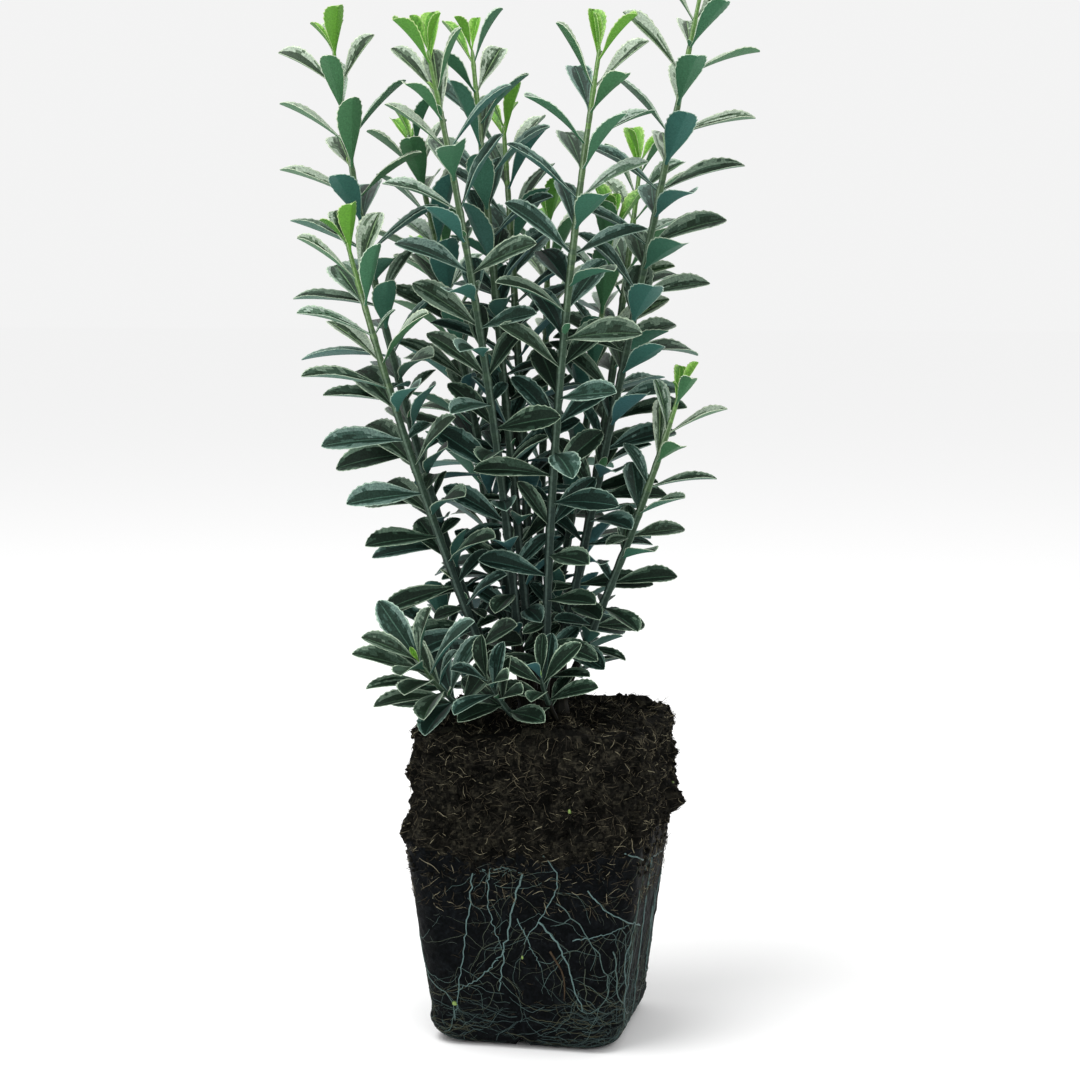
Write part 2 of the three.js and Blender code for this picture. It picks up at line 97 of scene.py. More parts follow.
# How much leaves differ from the rule: in degrees, or as shares
PAIR_SPREAD = 14
TURN_SPREAD = 8
LEAN_SPREAD = 8
LENGTH_SPREAD = 0.08
WIDTH_SPREAD = 0.1
CURL_SPREAD = 0.5
GAP_SPREAD = 0.12

# Ways of trying a leaf: size, lean, turn
TRIES = [
    (1, 0, 0),
    (1, -12, 0),
    (1, 0, 14),
    (1, 0, -14),
    (0.92, -20, 8),
    (0.92, 10, -8),
    (0.82, -26, -14),
    (0.82, 0, 20),
    (0.72, -30, 0),
]
FINER_TRIES = [
    (0.85, 8, -30),
    (0.7, -6, 8),
    (0.6, -20, -12),
    (0.5, 0, 16),
    (0.42, -24, 0),
    (0.5, 15, 35),
    (0.4, -10, -35),
    (0.32, 0, 0),
]
FINER_GAP = 0.2
FINER_SHARED = 60  # as SPACE_SHARED, for the finer leaves
BUD_SHARE = 0.24  # the share of the pairs of leaves that have small ones in their corners
BUD_TRIES = [(1, 0, 0), (0.8, 6, 22), (0.7, 0, -22)]
BUD_GAP = 0.1
TIP_BUD = {"length": 9, "width": 3.6, "lean": 7, "curl": 14, "roll": 0}
CORNER_LENGTH = (6, 13)
CORNER_WIDTH_SHARE = 0.4
CORNER_LEAN = (14, 34)
CORNER_TURN = 30
CORNER_CURL = 20
CORNER_ROLL = 20

MAIN_STEMS = {"left": (-19, -5), "middle": (-7, -1), "right": (9, 3), "rear": (-3, 14)}

# Each shoot: its name; the main stem that it rises from and the angle of its seat there, or the place of its
# own foot; its tip; how far it bows outwards; the angle of its top pair of leaves; and the size of its leaves
SHOOTS = [
    ("front_right", (2, -13), (28, -28, 486), -7, 24, 1),
    ("front_left", ("middle", 235), (-54, -30, 485), -6, -15, 1),
    ("left_front", ("left", 235), (-94, -20, 394), 4, 30, 1),
    ("left_tall", ("left", 110), (-103, 18, 490), 11, 10, 1),
    ("middle", ("middle", 20), (-34, 10, 489), 0, 64, 1),
    ("middle_rear", ("middle", 130), (-66, 44, 448), -4, 10, 1),
    ("rear_tall", ("rear", 270), (-19, 42, 454), -2, 33, 1),
    ("rear_left", ("rear", 180), (-52, 76, 392), 5, 52, 1),
    ("rear", ("rear", 90), (4, 74, 408), 4, 15, 1),
    ("rear_right", ("rear", 0), (37, 49, 404), 3, 81, 1),
    ("right_rear", ("right", 95), (52, 72, 438), 5, 28, 1),
    ("right_tall", ("right", 205), (80, 18, 522), 1, 12, 1),
    ("right_low", ("right", 335), (68, -14, 321), 3, 15, 0.82),
]
# The low twigs have leaves of the lower, darker classes of age and painted shade only, and those of a fresh
# one may look a little younger and lighter
TWIGS = [
    ("low_left", (-31, -19), (-59, -46, 193), 3, 0, 1.3, "fresh"),
    ("low_front", (-10, -27), (-26, -47, 184), 2, 45, 1),
    ("low_right", (8, -21), (0, -38, 184), 2, 70, 0.85),
    ("low_rear", (12, 30), (12, 52, 202), 3, 66, 1),
    ("low_side", (-30, 13), (-50, 30, 204), 3, 20, 1),
]

UP = np.array([0.0, 0.0, 1.0])


def mix(a, b, t):
    return a + (b - a) * t


def rise(x, low, high):
    """From 0 to 1, softly, as x goes from low to high."""
    t = np.clip((x - low) / (high - low), 0, 1)
    return t * t * (3 - 2 * t)


def unit(v):
    return v / np.linalg.norm(v)


def seeded(seed):
    """The source's repeatable random numbers from 0 to 1."""
    state = seed

    def draw():
        nonlocal state
        state = (state * 1664525 + 1013904223) & 0xFFFFFFFF
        return state / 4294967296

    return draw


def turned(vector, axis, degrees):
    """A vector turned about a unit axis."""
    angle = math.radians(degrees)
    cos = math.cos(angle)
    across = np.cross(axis, vector) * math.sin(angle)
    return vector * cos + across + axis * (axis @ vector) * (1 - cos)


def square_to(axis, degrees):
    """A direction square to an axis, at an angle round it, as +X and +Y are to +Z."""
    angle = math.radians(degrees)
    flat = np.array([math.cos(angle), math.sin(angle), 0.0])
    k = np.cross(UP, axis)
    return flat + np.cross(k, flat) + np.cross(k, np.cross(k, flat)) / (1 + axis[2])


# Shoots


class Shoot:
    """A shoot's whole line from foot to tip, with the leaves that grow on it."""

    def __init__(self, name, foot, tip, bow, turn, size, fresh=False, twig=False):
        if foot[0] in MAIN_STEMS:
            main, seat = foot
            u, w = MAIN_STEMS[main]
            angle = math.radians(seat)
            level = BALL_HEIGHT + SEAT_GAP + MAIN_HEIGHT + SEAT_GAP
            start = np.array([u + SEAT_RING * math.cos(angle), w + SEAT_RING * math.sin(angle), level])
        else:
            start = np.array([*foot, BALL_HEIGHT + SEAT_GAP])
        end = np.array(tip, float)
        outward = unit(np.array([end[0] - start[0], end[1] - start[1], 0.0]))
        self.ends = (start, mix(start, end, 0.5) + outward * 2 * bow, end)
        self.steps = np.linspace(0, 1, 201)
        chords = np.linalg.norm(np.diff(self.bezier(self.steps), axis=0), axis=1)
        self.reached = np.concatenate([[0], np.cumsum(chords)])
        self.length = self.reached[-1]
        self.name = name
        self.turn = turn
        self.twig = twig
        # The first class of age and painted shade that its leaves may take: the darker ones on the low twigs
        self.youngest_age_and_shade = 3 if twig and not fresh else 2 if twig else 0
        self.size = size * (TWIG_LEAF if twig else 1)
        self.gap_share = TWIG_GAP if twig else 1
        self.radius = TWIG_RADIUS if twig else SHOOT_RADIUS
        self.bare = TWIG_BOUGH_LENGTH if twig else BOUGH_LENGTH
        self.nodes = []
        self.leaves = []

    def bezier(self, t):
        start, control, end = self.ends
        t = np.asarray(t, float)[..., None]
        return (1 - t) ** 2 * start + 2 * (1 - t) * t * control + t**2 * end

    def point(self, at):
        return self.bezier(np.interp(at, self.reached, self.steps))

    def axis(self, at):
        start, control, end = self.ends
        t = np.interp(at, self.reached, self.steps)
        return unit((1 - t) * (control - start) + t * (end - control))

    def radius_at(self, at):
        share = at / self.length
        return self.radius * mix(1, TIP_SHARE, 0.35 * share + 0.65 * share**5)

    def stretch(self, start, stop):
        """A stretch of the line as straight pieces."""
        pieces = math.ceil((stop - start) / PATH_SECTION)
        points = self.point(np.linspace(start, stop, pieces + 1))
        return list(zip(points[:-1], points[1:]))


# Leaves by the rule


def station_at(below):
    return [np.interp(below, LEAF_STATIONS[:, 0], LEAF_STATIONS[:, k]) for k in (1, 2, 3)]


def leaves_of(shoot, seed):
    """The leaves that a shoot would bear, pair by pair from its tip to its foot."""
    draw = seeded(seed)

    def spread(amount):
        return amount * (2 * draw() - 1)

    wanted = []
    at = shoot.length - TOP_PAIR_BELOW
    turn = shoot.turn
    while at > shoot.bare + LOW_PAIR_ABOVE:
        below = 1 - at / shoot.length
        length, lean, gap = station_at(below)
        pair_turn = turn + spread(PAIR_SPREAD)
        shoot.nodes.append((at, pair_turn))
        for side in (0, 180):
            leaf = {"shoot": shoot, "at": at, "below": below}
            leaf["length"] = length * shoot.size * (1 + spread(LENGTH_SPREAD))
            leaf["azimuth"] = pair_turn + side + spread(TURN_SPREAD)
            leaf["width"] = leaf["length"] * LEAF_WIDTH_SHARE * (1 + spread(WIDTH_SPREAD))
            leaf["lean"] = lean + spread(LEAN_SPREAD)
            leaf["curl"] = LEAF_CURL * (1 + spread(CURL_SPREAD))
            leaf["roll"] = spread(mix(LEAF_ROLL_TOP, LEAF_ROLL_LOW, below))
            wanted.append(leaf)
        turn += 90
        at -= gap * shoot.gap_share * (1 + spread(GAP_SPREAD))
    return wanted


def leaf_frame(leaf):
    """Where a leaf starts and its three directions: along it, out of its upper face, and across it."""
    shoot = leaf["shoot"]
    axis = shoot.axis(leaf["at"])
    out = square_to(axis, leaf["azimuth"])
    root = shoot.point(leaf["at"]) - out * LEAF_SINK * shoot.radius_at(leaf["at"])
    lean = math.radians(leaf["lean"])
    along = axis * math.cos(lean) + out * math.sin(lean)
    face = axis * math.sin(lean) - out * math.cos(lean)
    face = unit(face + LIGHT_TURN * (LIGHT - along * (LIGHT @ along)))
    face = turned(face, along, leaf["roll"])
    return root, along, face, np.cross(along, face)


def on_leaf(leaf, t, across, height):
    """Points at shares of a leaf's length, at distances across it and above its bent middle line."""
    root, along, face, side = leaf["frame"]
    bend = math.radians(leaf["curl"])
    t, across, height = (np.asarray(x, float)[..., None] for x in (t, across, height))
    sin, cos = np.sin(bend * t), np.cos(bend * t)
    reach = along * (leaf["length"] * sin / bend + height * sin)
    return root + reach + face * (leaf["length"] * (cos - 1) / bend + height * cos) + side * across


def leaf_points(leaf):
    """The few points of the leaf's solid, which keep its space."""
    half = leaf["width"] / 2
    blunt = LEAF_BLUNT * half
    fold = LEAF_FOLD * leaf["width"]
    t = [0, LEAF_WIDEST, 1, 1, LEAF_WIDEST, LEAF_WIDEST]
    across = [0, half, blunt, -blunt, -half, 0]
    height = [0, fold, 0, 0, fold, -LEAF_THICKNESS]
    return on_leaf(leaf, t, across, height)


# The space that keeps shoots apart: convex bodies of a few points, swollen by a radius


def body(points, normals, edges, radius):
    points = np.array(points)
    centre = points.mean(axis=0)
    reach = np.linalg.norm(points - centre, axis=1).max() + radius
    return {
        "points": points,
        "normals": np.array(normals).reshape(-1, 3),
        "edges": np.array(edges),
        "radius": radius,
        "centre": centre,
        "reach": reach,
    }


def limb_body(start, stop, radius):
    return body([start, stop], [], [stop - start], radius)


def plane_of(a, b, c):
    return unit(np.cross(b - a, c - a))


def leaf_halves(points, start):
    """The two halves of a leaf, each side of its midrib, from a share of its length onward."""
    root, left, left_tip, right_tip, right, rib = points
    tip = (left_tip + right_tip) / 2
    top = (left + right) / 2
    upper = plane_of(root, left, right)
    halves = []
    for edge, corner in ((left, left_tip), (right, right_tip)):
        corners = [mix(root, rib, start), mix(root, edge, start), edge, corner, tip, rib, top]
        normals = [plane_of(root, edge, rib), plane_of(edge, corner, rib), upper, plane_of(edge, corner, top)]
        halves.append(body(corners, normals, [edge - root, corner - edge, rib - tip, rib - root], 0))
    return halves


NO_AXIS = 1e-3  # two edges that are almost parallel give a shorter one than this, and it says nothing


def apart(a, b, gap):
    """True if some direction shows the two bodies to be apart by the gap."""
    between = b["centre"] - a["centre"]
    crossed = np.cross(a["edges"][:, None], b["edges"][None]).reshape(-1, 3)
    axes = np.vstack([a["normals"], b["normals"], between, crossed])
    sizes = np.linalg.norm(axes, axis=1)
    real = sizes > NO_AXIS
    axes = axes[real] / sizes[real][:, None]
    of_a = a["points"] @ axes.T
    of_b = b["points"] @ axes.T
    ahead = of_a.min(axis=0) - of_b.max(axis=0)
    behind = of_b.min(axis=0) - of_a.max(axis=0)
    return bool((np.maximum(ahead, behind) - a["radius"] - b["radius"] >= gap).any())


class Bodies:
    """The bodies that leaves keep clear of, with their places in one array to find the near ones fast."""

    def __init__(self):
        self.items = []
        self.owners = []
        self.spheres = np.zeros((0, 4))

    def add(self, bodies, owner):
        self.items += bodies
        self.owners += [owner] * len(bodies)
        rows = [[*b["centre"], b["reach"]] for b in bodies]
        self.spheres = np.vstack([self.spheres, rows])

    def clear_of(self, one, gap, skip=None, only=None):
        if not self.items:
            return True
        away = np.linalg.norm(self.spheres[:, :3] - one["centre"], axis=1)
        near = np.nonzero(away <= self.spheres[:, 3] + one["reach"] + gap)[0]
        for i in near:
            owner = self.owners[i]
            if owner == skip or (only is not None and owner != only):
                continue
            if not apart(one, self.items[i], gap):
                return False
        return True


def distance_to(pieces, points):
    """The distance from each point to the nearest of some straight pieces."""
    start, stop = (np.array(x) for x in zip(*pieces))
    run = stop - start
    offset = points[:, None] - start[None]
    share = np.clip((offset * run).sum(axis=2) / (run * run).sum(axis=1), 0, 1)
    return np.linalg.norm(offset - share[..., None] * run, axis=2).min(axis=1)


class Crown:
    """All shoots, and the rule that lets a leaf grow only where it keeps its own shoot's space."""

    def __init__(self):
        self.shoots = [Shoot(*shoot) for shoot in SHOOTS] + [Shoot(*twig, twig=True) for twig in TWIGS]
        self.others = Bodies()
        self.blades = Bodies()
        for u, w in MAIN_STEMS.values():
            foot = np.array([u, w, BALL_HEIGHT])
            fork = np.array([u, w, BALL_HEIGHT + MAIN_HEIGHT])
            self.others.add([limb_body(foot, fork, MAIN_RADIUS + MAIN_FLARE)], "limb")
        for shoot in self.shoots:
            shoot.path = shoot.stretch(0, shoot.length)
            bough = shoot.stretch(0, shoot.bare)
            leafy = shoot.stretch(shoot.bare, shoot.length)
            self.others.add([limb_body(a, b, shoot.radius) for a, b in bough], "limb")
            self.others.add([limb_body(a, b, shoot.radius) for a, b in leafy], shoot.name)

    def keeps_its_space(self, points, shoot, gap, shared):
        blade = points[1:]
        if blade[:, 2].min() < BALL_HEIGHT + SOIL_GAP:
            return False
        own = distance_to(shoot.path, blade)
        for other in self.shoots:
            if other is not shoot and (distance_to(other.path, blade) < own - shared).any():
                return False
        if not all(self.others.clear_of(half, gap, skip=shoot.name) for half in leaf_halves(points, 0)):
            return False
        starts = leaf_halves(points, OWN_START)
        return all(self.blades.clear_of(half, 0, only=shoot.name) for half in starts)

    def grow(self, leaf, tries, gap, shared=SPACE_SHARED):
        """Puts a leaf on its shoot in the first way that keeps its space."""
        for size, lean, turn in tries:
            tried = dict(leaf)
            tried["length"] *= size
            tried["width"] *= size
            tried["lean"] += lean
            tried["azimuth"] += turn
            tried["frame"] = leaf_frame(tried)
            points = leaf_points(tried)
            if self.keeps_its_space(points, leaf["shoot"], gap, shared):
                leaf["shoot"].leaves.append(tried)
                self.others.add(leaf_halves(points, 0), leaf["shoot"].name)
                self.blades.add(leaf_halves(points, OWN_START), leaf["shoot"].name)
                return True
        return False

    def fill(self):
        """The source's leaves, the outermost first, and then smaller ones where those found no room."""
        wanted = [leaf for i, shoot in enumerate(self.shoots) for leaf in leaves_of(shoot, 100 + 7 * i)]
        middle = np.array([0, 0, CROWN_MIDDLE])
        for leaf in wanted:
            leaf["frame"] = leaf_frame(leaf)
        wanted.sort(key=lambda leaf: -np.linalg.norm(leaf_points(leaf)[2] - middle))
        missed = [leaf for leaf in wanted if not self.grow(leaf, TRIES, LEAF_GAP)]
        for leaf in missed:
            self.grow(leaf, FINER_TRIES, FINER_GAP, FINER_SHARED)
        self.bud()

    def bud(self):
        """The last small pair round each tip, and small leaves in the corners of some pairs."""
        rng = np.random.default_rng(11)
        for shoot in self.shoots:
            for side in (0, 180):
                leaf = {"shoot": shoot, "at": shoot.length - 0.4, "below": 0, "bud": True, **TIP_BUD}
                leaf["length"] *= shoot.size
                leaf["azimuth"] = shoot.turn + 90 + side
                self.grow(leaf, BUD_TRIES, BUD_GAP)
            for at, turn in shoot.nodes[1:]:
                if rng.random() > BUD_SHARE:
                    continue
                for side in (0, 180):
                    leaf = {"shoot": shoot, "at": at + 0.5, "below": 1 - at / shoot.length, "bud": True}
                    leaf["length"] = rng.uniform(*CORNER_LENGTH) * shoot.size
                    leaf["width"] = leaf["length"] * CORNER_WIDTH_SHARE
                    leaf["lean"] = rng.uniform(*CORNER_LEAN)
                    leaf["azimuth"] = turn + side + rng.uniform(-CORNER_TURN, CORNER_TURN)
                    leaf["curl"] = CORNER_CURL
                    leaf["roll"] = rng.uniform(-CORNER_ROLL, CORNER_ROLL)
                    self.grow(leaf, BUD_TRIES, BUD_GAP)


# Meshes


def placed(name, data):
    """A new object in the scene."""
    made = bpy.data.objects.new(name, data)
    bpy.context.scene.collection.objects.link(made)
    return made


class Pile:
    """Points and triangles of one joined piece, each triangle with a material and smooth or not."""

    def __init__(self, name):
        self.name = name
        self.count = 0
        self.points = []
        self.triangles = []
        self.materials = []
        self.smooth = []
        self.palette = []

    def slot_of(self, material):
        if material not in self.palette:
            self.palette.append(material)
        return self.palette.index(material)

    def slots_of(self, materials):
        return {key: self.slot_of(material) for key, material in materials.items()}

    def add(self, points, triangles, slots, smooth=True):
        points = np.asarray(points, float).reshape(-1, 3)
        triangles = np.asarray(triangles).reshape(-1, 3)
        self.points.append(points)
        self.triangles.append(triangles + self.count)
        self.materials.append(np.broadcast_to(slots, len(triangles)))
        self.smooth.append(np.broadcast_to(smooth, len(triangles)))
        self.count += len(points)

    def add_tube(self, rings, slots, first_end, last_end):
        """A closed tube through rings of points, with a material for each of its quads and each end."""
        rows, sides = rings.shape[:2]
        ends = np.repeat([first_end, last_end], sides - 2)
        self.add(rings, tube_faces(rows, sides), np.concatenate([np.repeat(np.ravel(slots), 2), ends]))

    def build(self, replaces=(), crown=False):
        """Makes the piece in metres, riding on the plant's one body."""
        points = np.concatenate(self.points)
        if crown:
            angle = math.radians(CROWN_TURN)
            cos, sin = math.cos(angle), math.sin(angle)
            points = points @ np.array([[cos, sin, 0], [-sin, cos, 0], [0, 0, 1]])
        triangles = np.concatenate(self.triangles).astype(np.int32)
        mesh = bpy.data.meshes.new(self.name)
        mesh.vertices.add(len(points))
        mesh.vertices.foreach_set("co", (points * MM).astype(np.float32).ravel())
        mesh.loops.add(triangles.size)
        mesh.loops.foreach_set("vertex_index", triangles.ravel())
        mesh.polygons.add(len(triangles))
        mesh.polygons.foreach_set("loop_start", np.arange(0, triangles.size, 3, dtype=np.int32))
        mesh.polygons.foreach_set("material_index", np.concatenate(self.materials).astype(np.int32))
        mesh.polygons.foreach_set("use_smooth", np.concatenate(self.smooth))
        mesh.update(calc_edges=True)
        mesh.validate()
        for material in self.palette:
            mesh.materials.append(material)
        piece = placed(self.name, mesh)
        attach(piece, "root")
        if replaces:
            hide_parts(*replaces)
        return piece


def grid_triangles(rows, columns, closed=False):
    """Triangles of a grid of points, counted row by row. A closed grid's last column joins its first."""
    i, j = np.meshgrid(np.arange(rows - 1), np.arange(columns if closed else columns - 1), indexing="ij")
    a = i * columns + j
    b = i * columns + (j + 1) % columns
    c, d = a + columns, b + columns
    return np.stack([a, b, d, a, d, c], axis=-1).reshape(-1, 3)


def tube_faces(rows, sides):
    """Faces of a closed tube, counted ring by ring: its side and its two ends."""
    end = np.array([(0, i + 1, i) for i in range(1, sides - 1)])
    return np.vstack([grid_triangles(rows, sides, closed=True), end, end[:, ::-1] + (rows - 1) * sides])


def tubes(pile, lines, radii, ups, sides, slots):
    """Tubes with closed ends along many lines: lines n by k by 3, radii n by k, ups n by 3."""
    lines = np.asarray(lines, float)
    n, k, _ = lines.shape
    ahead = np.gradient(lines, axis=1)
    ahead /= np.maximum(np.linalg.norm(ahead, axis=2, keepdims=True), 1e-9)
    across = np.cross(ahead, np.asarray(ups, float)[:, None, :])
    across /= np.maximum(np.linalg.norm(across, axis=2, keepdims=True), 1e-9)
    above = np.cross(across, ahead)
    angle = np.linspace(0, 2 * np.pi, sides, endpoint=False)
    ring = np.cos(angle)[:, None] * across[:, :, None, :] + np.sin(angle)[:, None] * above[:, :, None, :]
    points = lines[:, :, None, :] + ring * np.asarray(radii, float)[:, :, None, None]
    shape = tube_faces(k, sides)[:, ::-1]
    triangles = shape[None] + (np.arange(n) * k * sides)[:, None, None]
    pile.add(points, triangles, np.repeat(np.broadcast_to(slots, n), len(shape)))


# Finishes. A look is its roughness, the size of its mottling, the depth of its relief, how far its colour
# goes down and up, and how much it shines.

MOTTLED = (0.35, 0.65)  # the levels of the noise between which the colour goes from its darkest to its palest
GLOSS_SPREAD = 0.1


def colour(red, green, blue):
    """The linear values of a colour that is given as it shows on a screen, from 0 to 255."""
    shown = np.array([red, green, blue]) / 255
    linear = np.where(shown <= 0.04045, shown / 12.92, ((shown + 0.055) / 1.055) ** 2.4)
    return (*linear, 1.0)


def shaded(rgba, share):
    return (*[min(1.0, c * share) for c in rgba[:3]], 1.0)


def surface(name, shown, look):
    """A finish with mottled colour, uneven gloss and fine relief."""
    rough, grain, bump, contrast, specular = look
    material = bpy.data.materials.new(name)
    material.use_nodes = True
    nodes = material.node_tree.nodes
    links = material.node_tree.links
    shader = nodes["Principled BSDF"]
    shader.inputs["Specular IOR Level"].default_value = specular
    place = nodes.new("ShaderNodeTexCoord")

    def noise_of(size, detail):
        texture = nodes.new("ShaderNodeTexNoise")
        texture.inputs["Scale"].default_value = 1 / (size * MM)
        texture.inputs["Detail"].default_value = detail
        links.new(place.outputs["Object"], texture.inputs["Vector"])
        return texture.outputs["Fac"]

    def spread(noise_socket, side, low, high):
        node = nodes.new("ShaderNodeMapRange")
        node.inputs[f"{side} Min"].default_value = low
        node.inputs[f"{side} Max"].default_value = high
        links.new(noise_socket, node.inputs["Value"])
        return node.outputs["Result"]

    base = colour(*shown)
    tint = nodes.new("ShaderNodeMix")
    tint.data_type = "RGBA"
    tint.inputs["A"].default_value = shaded(base, 1 - contrast)
    tint.inputs["B"].default_value = shaded(base, 1 + contrast)
    links.new(spread(noise_of(grain, 4), "From", *MOTTLED), tint.inputs["Factor"])
    links.new(tint.outputs["Result"], shader.inputs["Base Color"])
    gloss = spread(noise_of(grain * 2.5, 2), "To", rough - GLOSS_SPREAD, min(1.0, rough + GLOSS_SPREAD))
    links.new(gloss, shader.inputs["Roughness"])
    relief = nodes.new("ShaderNodeBump")
    relief.inputs["Strength"].default_value = 0.6
    relief.inputs["Distance"].default_value = bump * MM
    links.new(noise_of(grain * 0.6, 3), relief.inputs["Height"])
    links.new(relief.outputs["Normal"], shader.inputs["Normal"])
    return material


def finishes(pile, name, shades, look):
    """The slots of one finish in several shades."""
    return [pile.slot_of(surface(f"{name}_{i}", shown, look)) for i, shown in enumerate(shades)]


# Leaf colours by class, from a shoot's tip down: young growth at the tip, then darker classes that are partly
# older leaves and partly painted shade of the lower crown. Each zone's warm shade, and then its cool one if
# it has one
LEAF_COLOURS = {
    "tip": {
        "dark": [(88, 144, 42), (76, 130, 42)],
        "mid": [(106, 158, 54), (92, 146, 52)],
        "pale": [(132, 178, 84)],
        "margin": [(172, 200, 130)],
        "under": [(92, 148, 48), (82, 138, 54)],
        "rib": [(142, 184, 92)],
    },
    "upper": {
        "dark": [(42, 62, 41), (41, 64, 46)],
        "mid": [(86, 106, 84), (84, 109, 90)],
        "pale": [(157, 172, 154), (149, 167, 153)],
        "margin": [(199, 213, 186), (190, 210, 187)],
        "under": [(67, 113, 76), (64, 110, 81)],
        "rib": [(116, 144, 101), (109, 143, 104)],
    },
    "middle": {
        "dark": [(37, 53, 40), (35, 55, 46)],
        "mid": [(57, 77, 63), (55, 80, 71)],
        "pale": [(106, 126, 109), (101, 126, 117)],
        "margin": [(170, 188, 164), (160, 185, 168)],
        "under": [(60, 105, 86), (58, 103, 94)],
        "rib": [(74, 100, 76), (68, 98, 84)],
    },
    "lower": {
        "dark": [(26, 40, 31), (25, 42, 36)],
        "mid": [(48, 68, 55), (46, 70, 63)],
        "pale": [(91, 113, 96), (86, 113, 105)],
        "margin": [(154, 174, 150), (144, 169, 153)],
        "under": [(56, 93, 84), (54, 92, 93)],
        "rib": [(58, 84, 66), (52, 82, 72)],
    },
}
AGES_AND_SHADES = list(LEAF_COLOURS)
AGE_AND_SHADE_LIMITS = [0.045, 0.26, 0.6]  # shares of a shoot below its tip where the next class starts, darker from age and from painted shade
AGE_SHEEN = {"tip": 0.24, "upper": 0.18, "middle": 0.12, "lower": 0.08}
FACE_LOOK = (0.42, 0.9, 0.12, 0.3)
UNDER_LOOK = (0.5, 0.9, 0.12, 0.14)
AGE_JITTER = 0.03
INNER_SHADE_STEP = 0.3  # how much darker a class a leaf deep in the plant takes as painted shade, as a share of the shoot
INNER_SHADE_FROM = (0.45, 0.75)  # how deep inside, from 0 to 1, this painted shade sets in
FRESH_BUDS = 0.35  # the share below a tip down to which small leaves may have the colours of the tip
TWIG_FRESH_BUDS = 0.1
COOL_OUTSIDE = 0.3  # how many of the leaves at the outside have the cool shades
# How many of the leaves deep inside have the cool shades. The cool shades at the outside are random variety,
# and their rise inwards is a painted tint of shade
COOL_INSIDE_SHADE = 0.7


def leaf_materials():
    """A finish for each shade of each zone, at each class of age and painted shade."""
    made = {}
    for age, zones in LEAF_COLOURS.items():
        for zone, shades in zones.items():
            look = (*(UNDER_LOOK if zone == "under" else FACE_LOOK), AGE_SHEEN[age])
            for i, shown in enumerate(shades):
                made[age, zone, i] = surface(f"leaf_{age}_{zone}_{i}", shown, look)
    return made


# A leaf's shape

LEAF_ROWS = 20
BUD_ROWS = 9
BUD_LENGTH = 14  # shorter leaves have the fewer rows
PETIOLE_SHARE = 0.07
PETIOLE_WIDTH = 0.12
BLADE_THICKNESS = 0.42
TOOTH_DEPTH = 0.09
TIP_FOLD = 0.34  # the fold of a young leaf, where LEAF_FOLD is a grown one's
YOUNG_BELOW = (0.01, 0.12)  # the shares of a shoot below its tip over which leaves stop being young
SPOON_BELOW = (0.02, 0.4)  # the same for leaves that are widest near a blunt tip
TWIG_SPOON = 0.2
SLIM = (0.92, 0.84)  # how wide a grown and a young leaf are, as shares of the source's
QUILT = (0.07, 0.03)  # how far a grown and a young blade bulge between their side veins
GROOVE = 0.14  # how deep the rib lies in the upper face
KEEL = 0.3  # how far it stands out of the underside at the leaf's foot
WAVE = (0.15, 0.6)  # how far the edges wave up and down on a leaf of the next width
WAVE_WIDTH = 16
RIPPLE = 9  # how fast the edges wave along the leaf
FOLD_POWER = 1.15
CURL_KEPT = 0.58  # how much of the curl of the source's plain leaf a drawn one keeps, between the same ends
FRONT = np.array([0, -0.95, 0.3])  # where the low leaves at the front turn their faces
FRONT_TURN = 1.5
FRONT_LEAST = 0.25  # the least share of this turn that a low leaf takes
FRONT_BELOW = (0.22, 0.55)  # the shares of a shoot below its tip over which it sets in
FRONT_BEFORE = 25  # how far before the crown's middle it is full
FRONT_HANG = 16  # degrees that a low leaf which points to the front hangs below the source's plain one
VEIN_SWEEP = 0.1  # how much further along the leaf a side vein ends than it starts
UNDER_COLUMNS = np.array([-1, -0.94, -0.05, 0.05, 0.94, 1])
INNER_COLUMNS = np.array([0.045, 0.19, 0.34, 0.5, 0.69])  # the upper face's, from the rib to the margin
# On a plain leaf the dark middle and then the grey zone end at these shares of the half width
# At the lower classes the dark middle is wider, which darkens low leaves partly as painted shade
ZONE_ENDS = {"tip": (0.3, 0.7), "upper": (0.25, 0.47), "middle": (0.4, 0.64), "lower": (0.56, 0.84)}
DARKNESS = (-0.1, 0.14)  # how much wider the dark middle is on one leaf than on the next
STREAK = 0.17
MARGIN_FROM = (0.87, 0.92)  # the share of the half width at which the pale margin starts
MARGIN_NARROWS = 0.035  # how much further out it starts on a low leaf
MARGIN_JITTER = 0.03
MARGIN_WIDENS = 0.05  # how much further in it starts at the leaf's tip
CROWN_AXIS = (-8, 12)
CROWN_HEIGHTS = (160, 490)
CROWN_HALVES = (45, 120)  # half widths of the crown at these heights


def outline(t, spoon):
    """A leaf's half width, as a share of the greatest. With more spoon it is widest nearer its blunt tip."""
    x = np.clip((t - PETIOLE_SHARE) / (1 - PETIOLE_SHARE), 0, 0.996)
    p, q = mix(1.25, 1.6, spoon), mix(0.7, 0.5, spoon)
    peak = p / (p + q)
    blade = (x / peak) ** p * ((1 - x) / (1 - peak)) ** q
    return np.maximum(blade, PETIOLE_WIDTH * (1 - rise(t, 0.9, 1)))


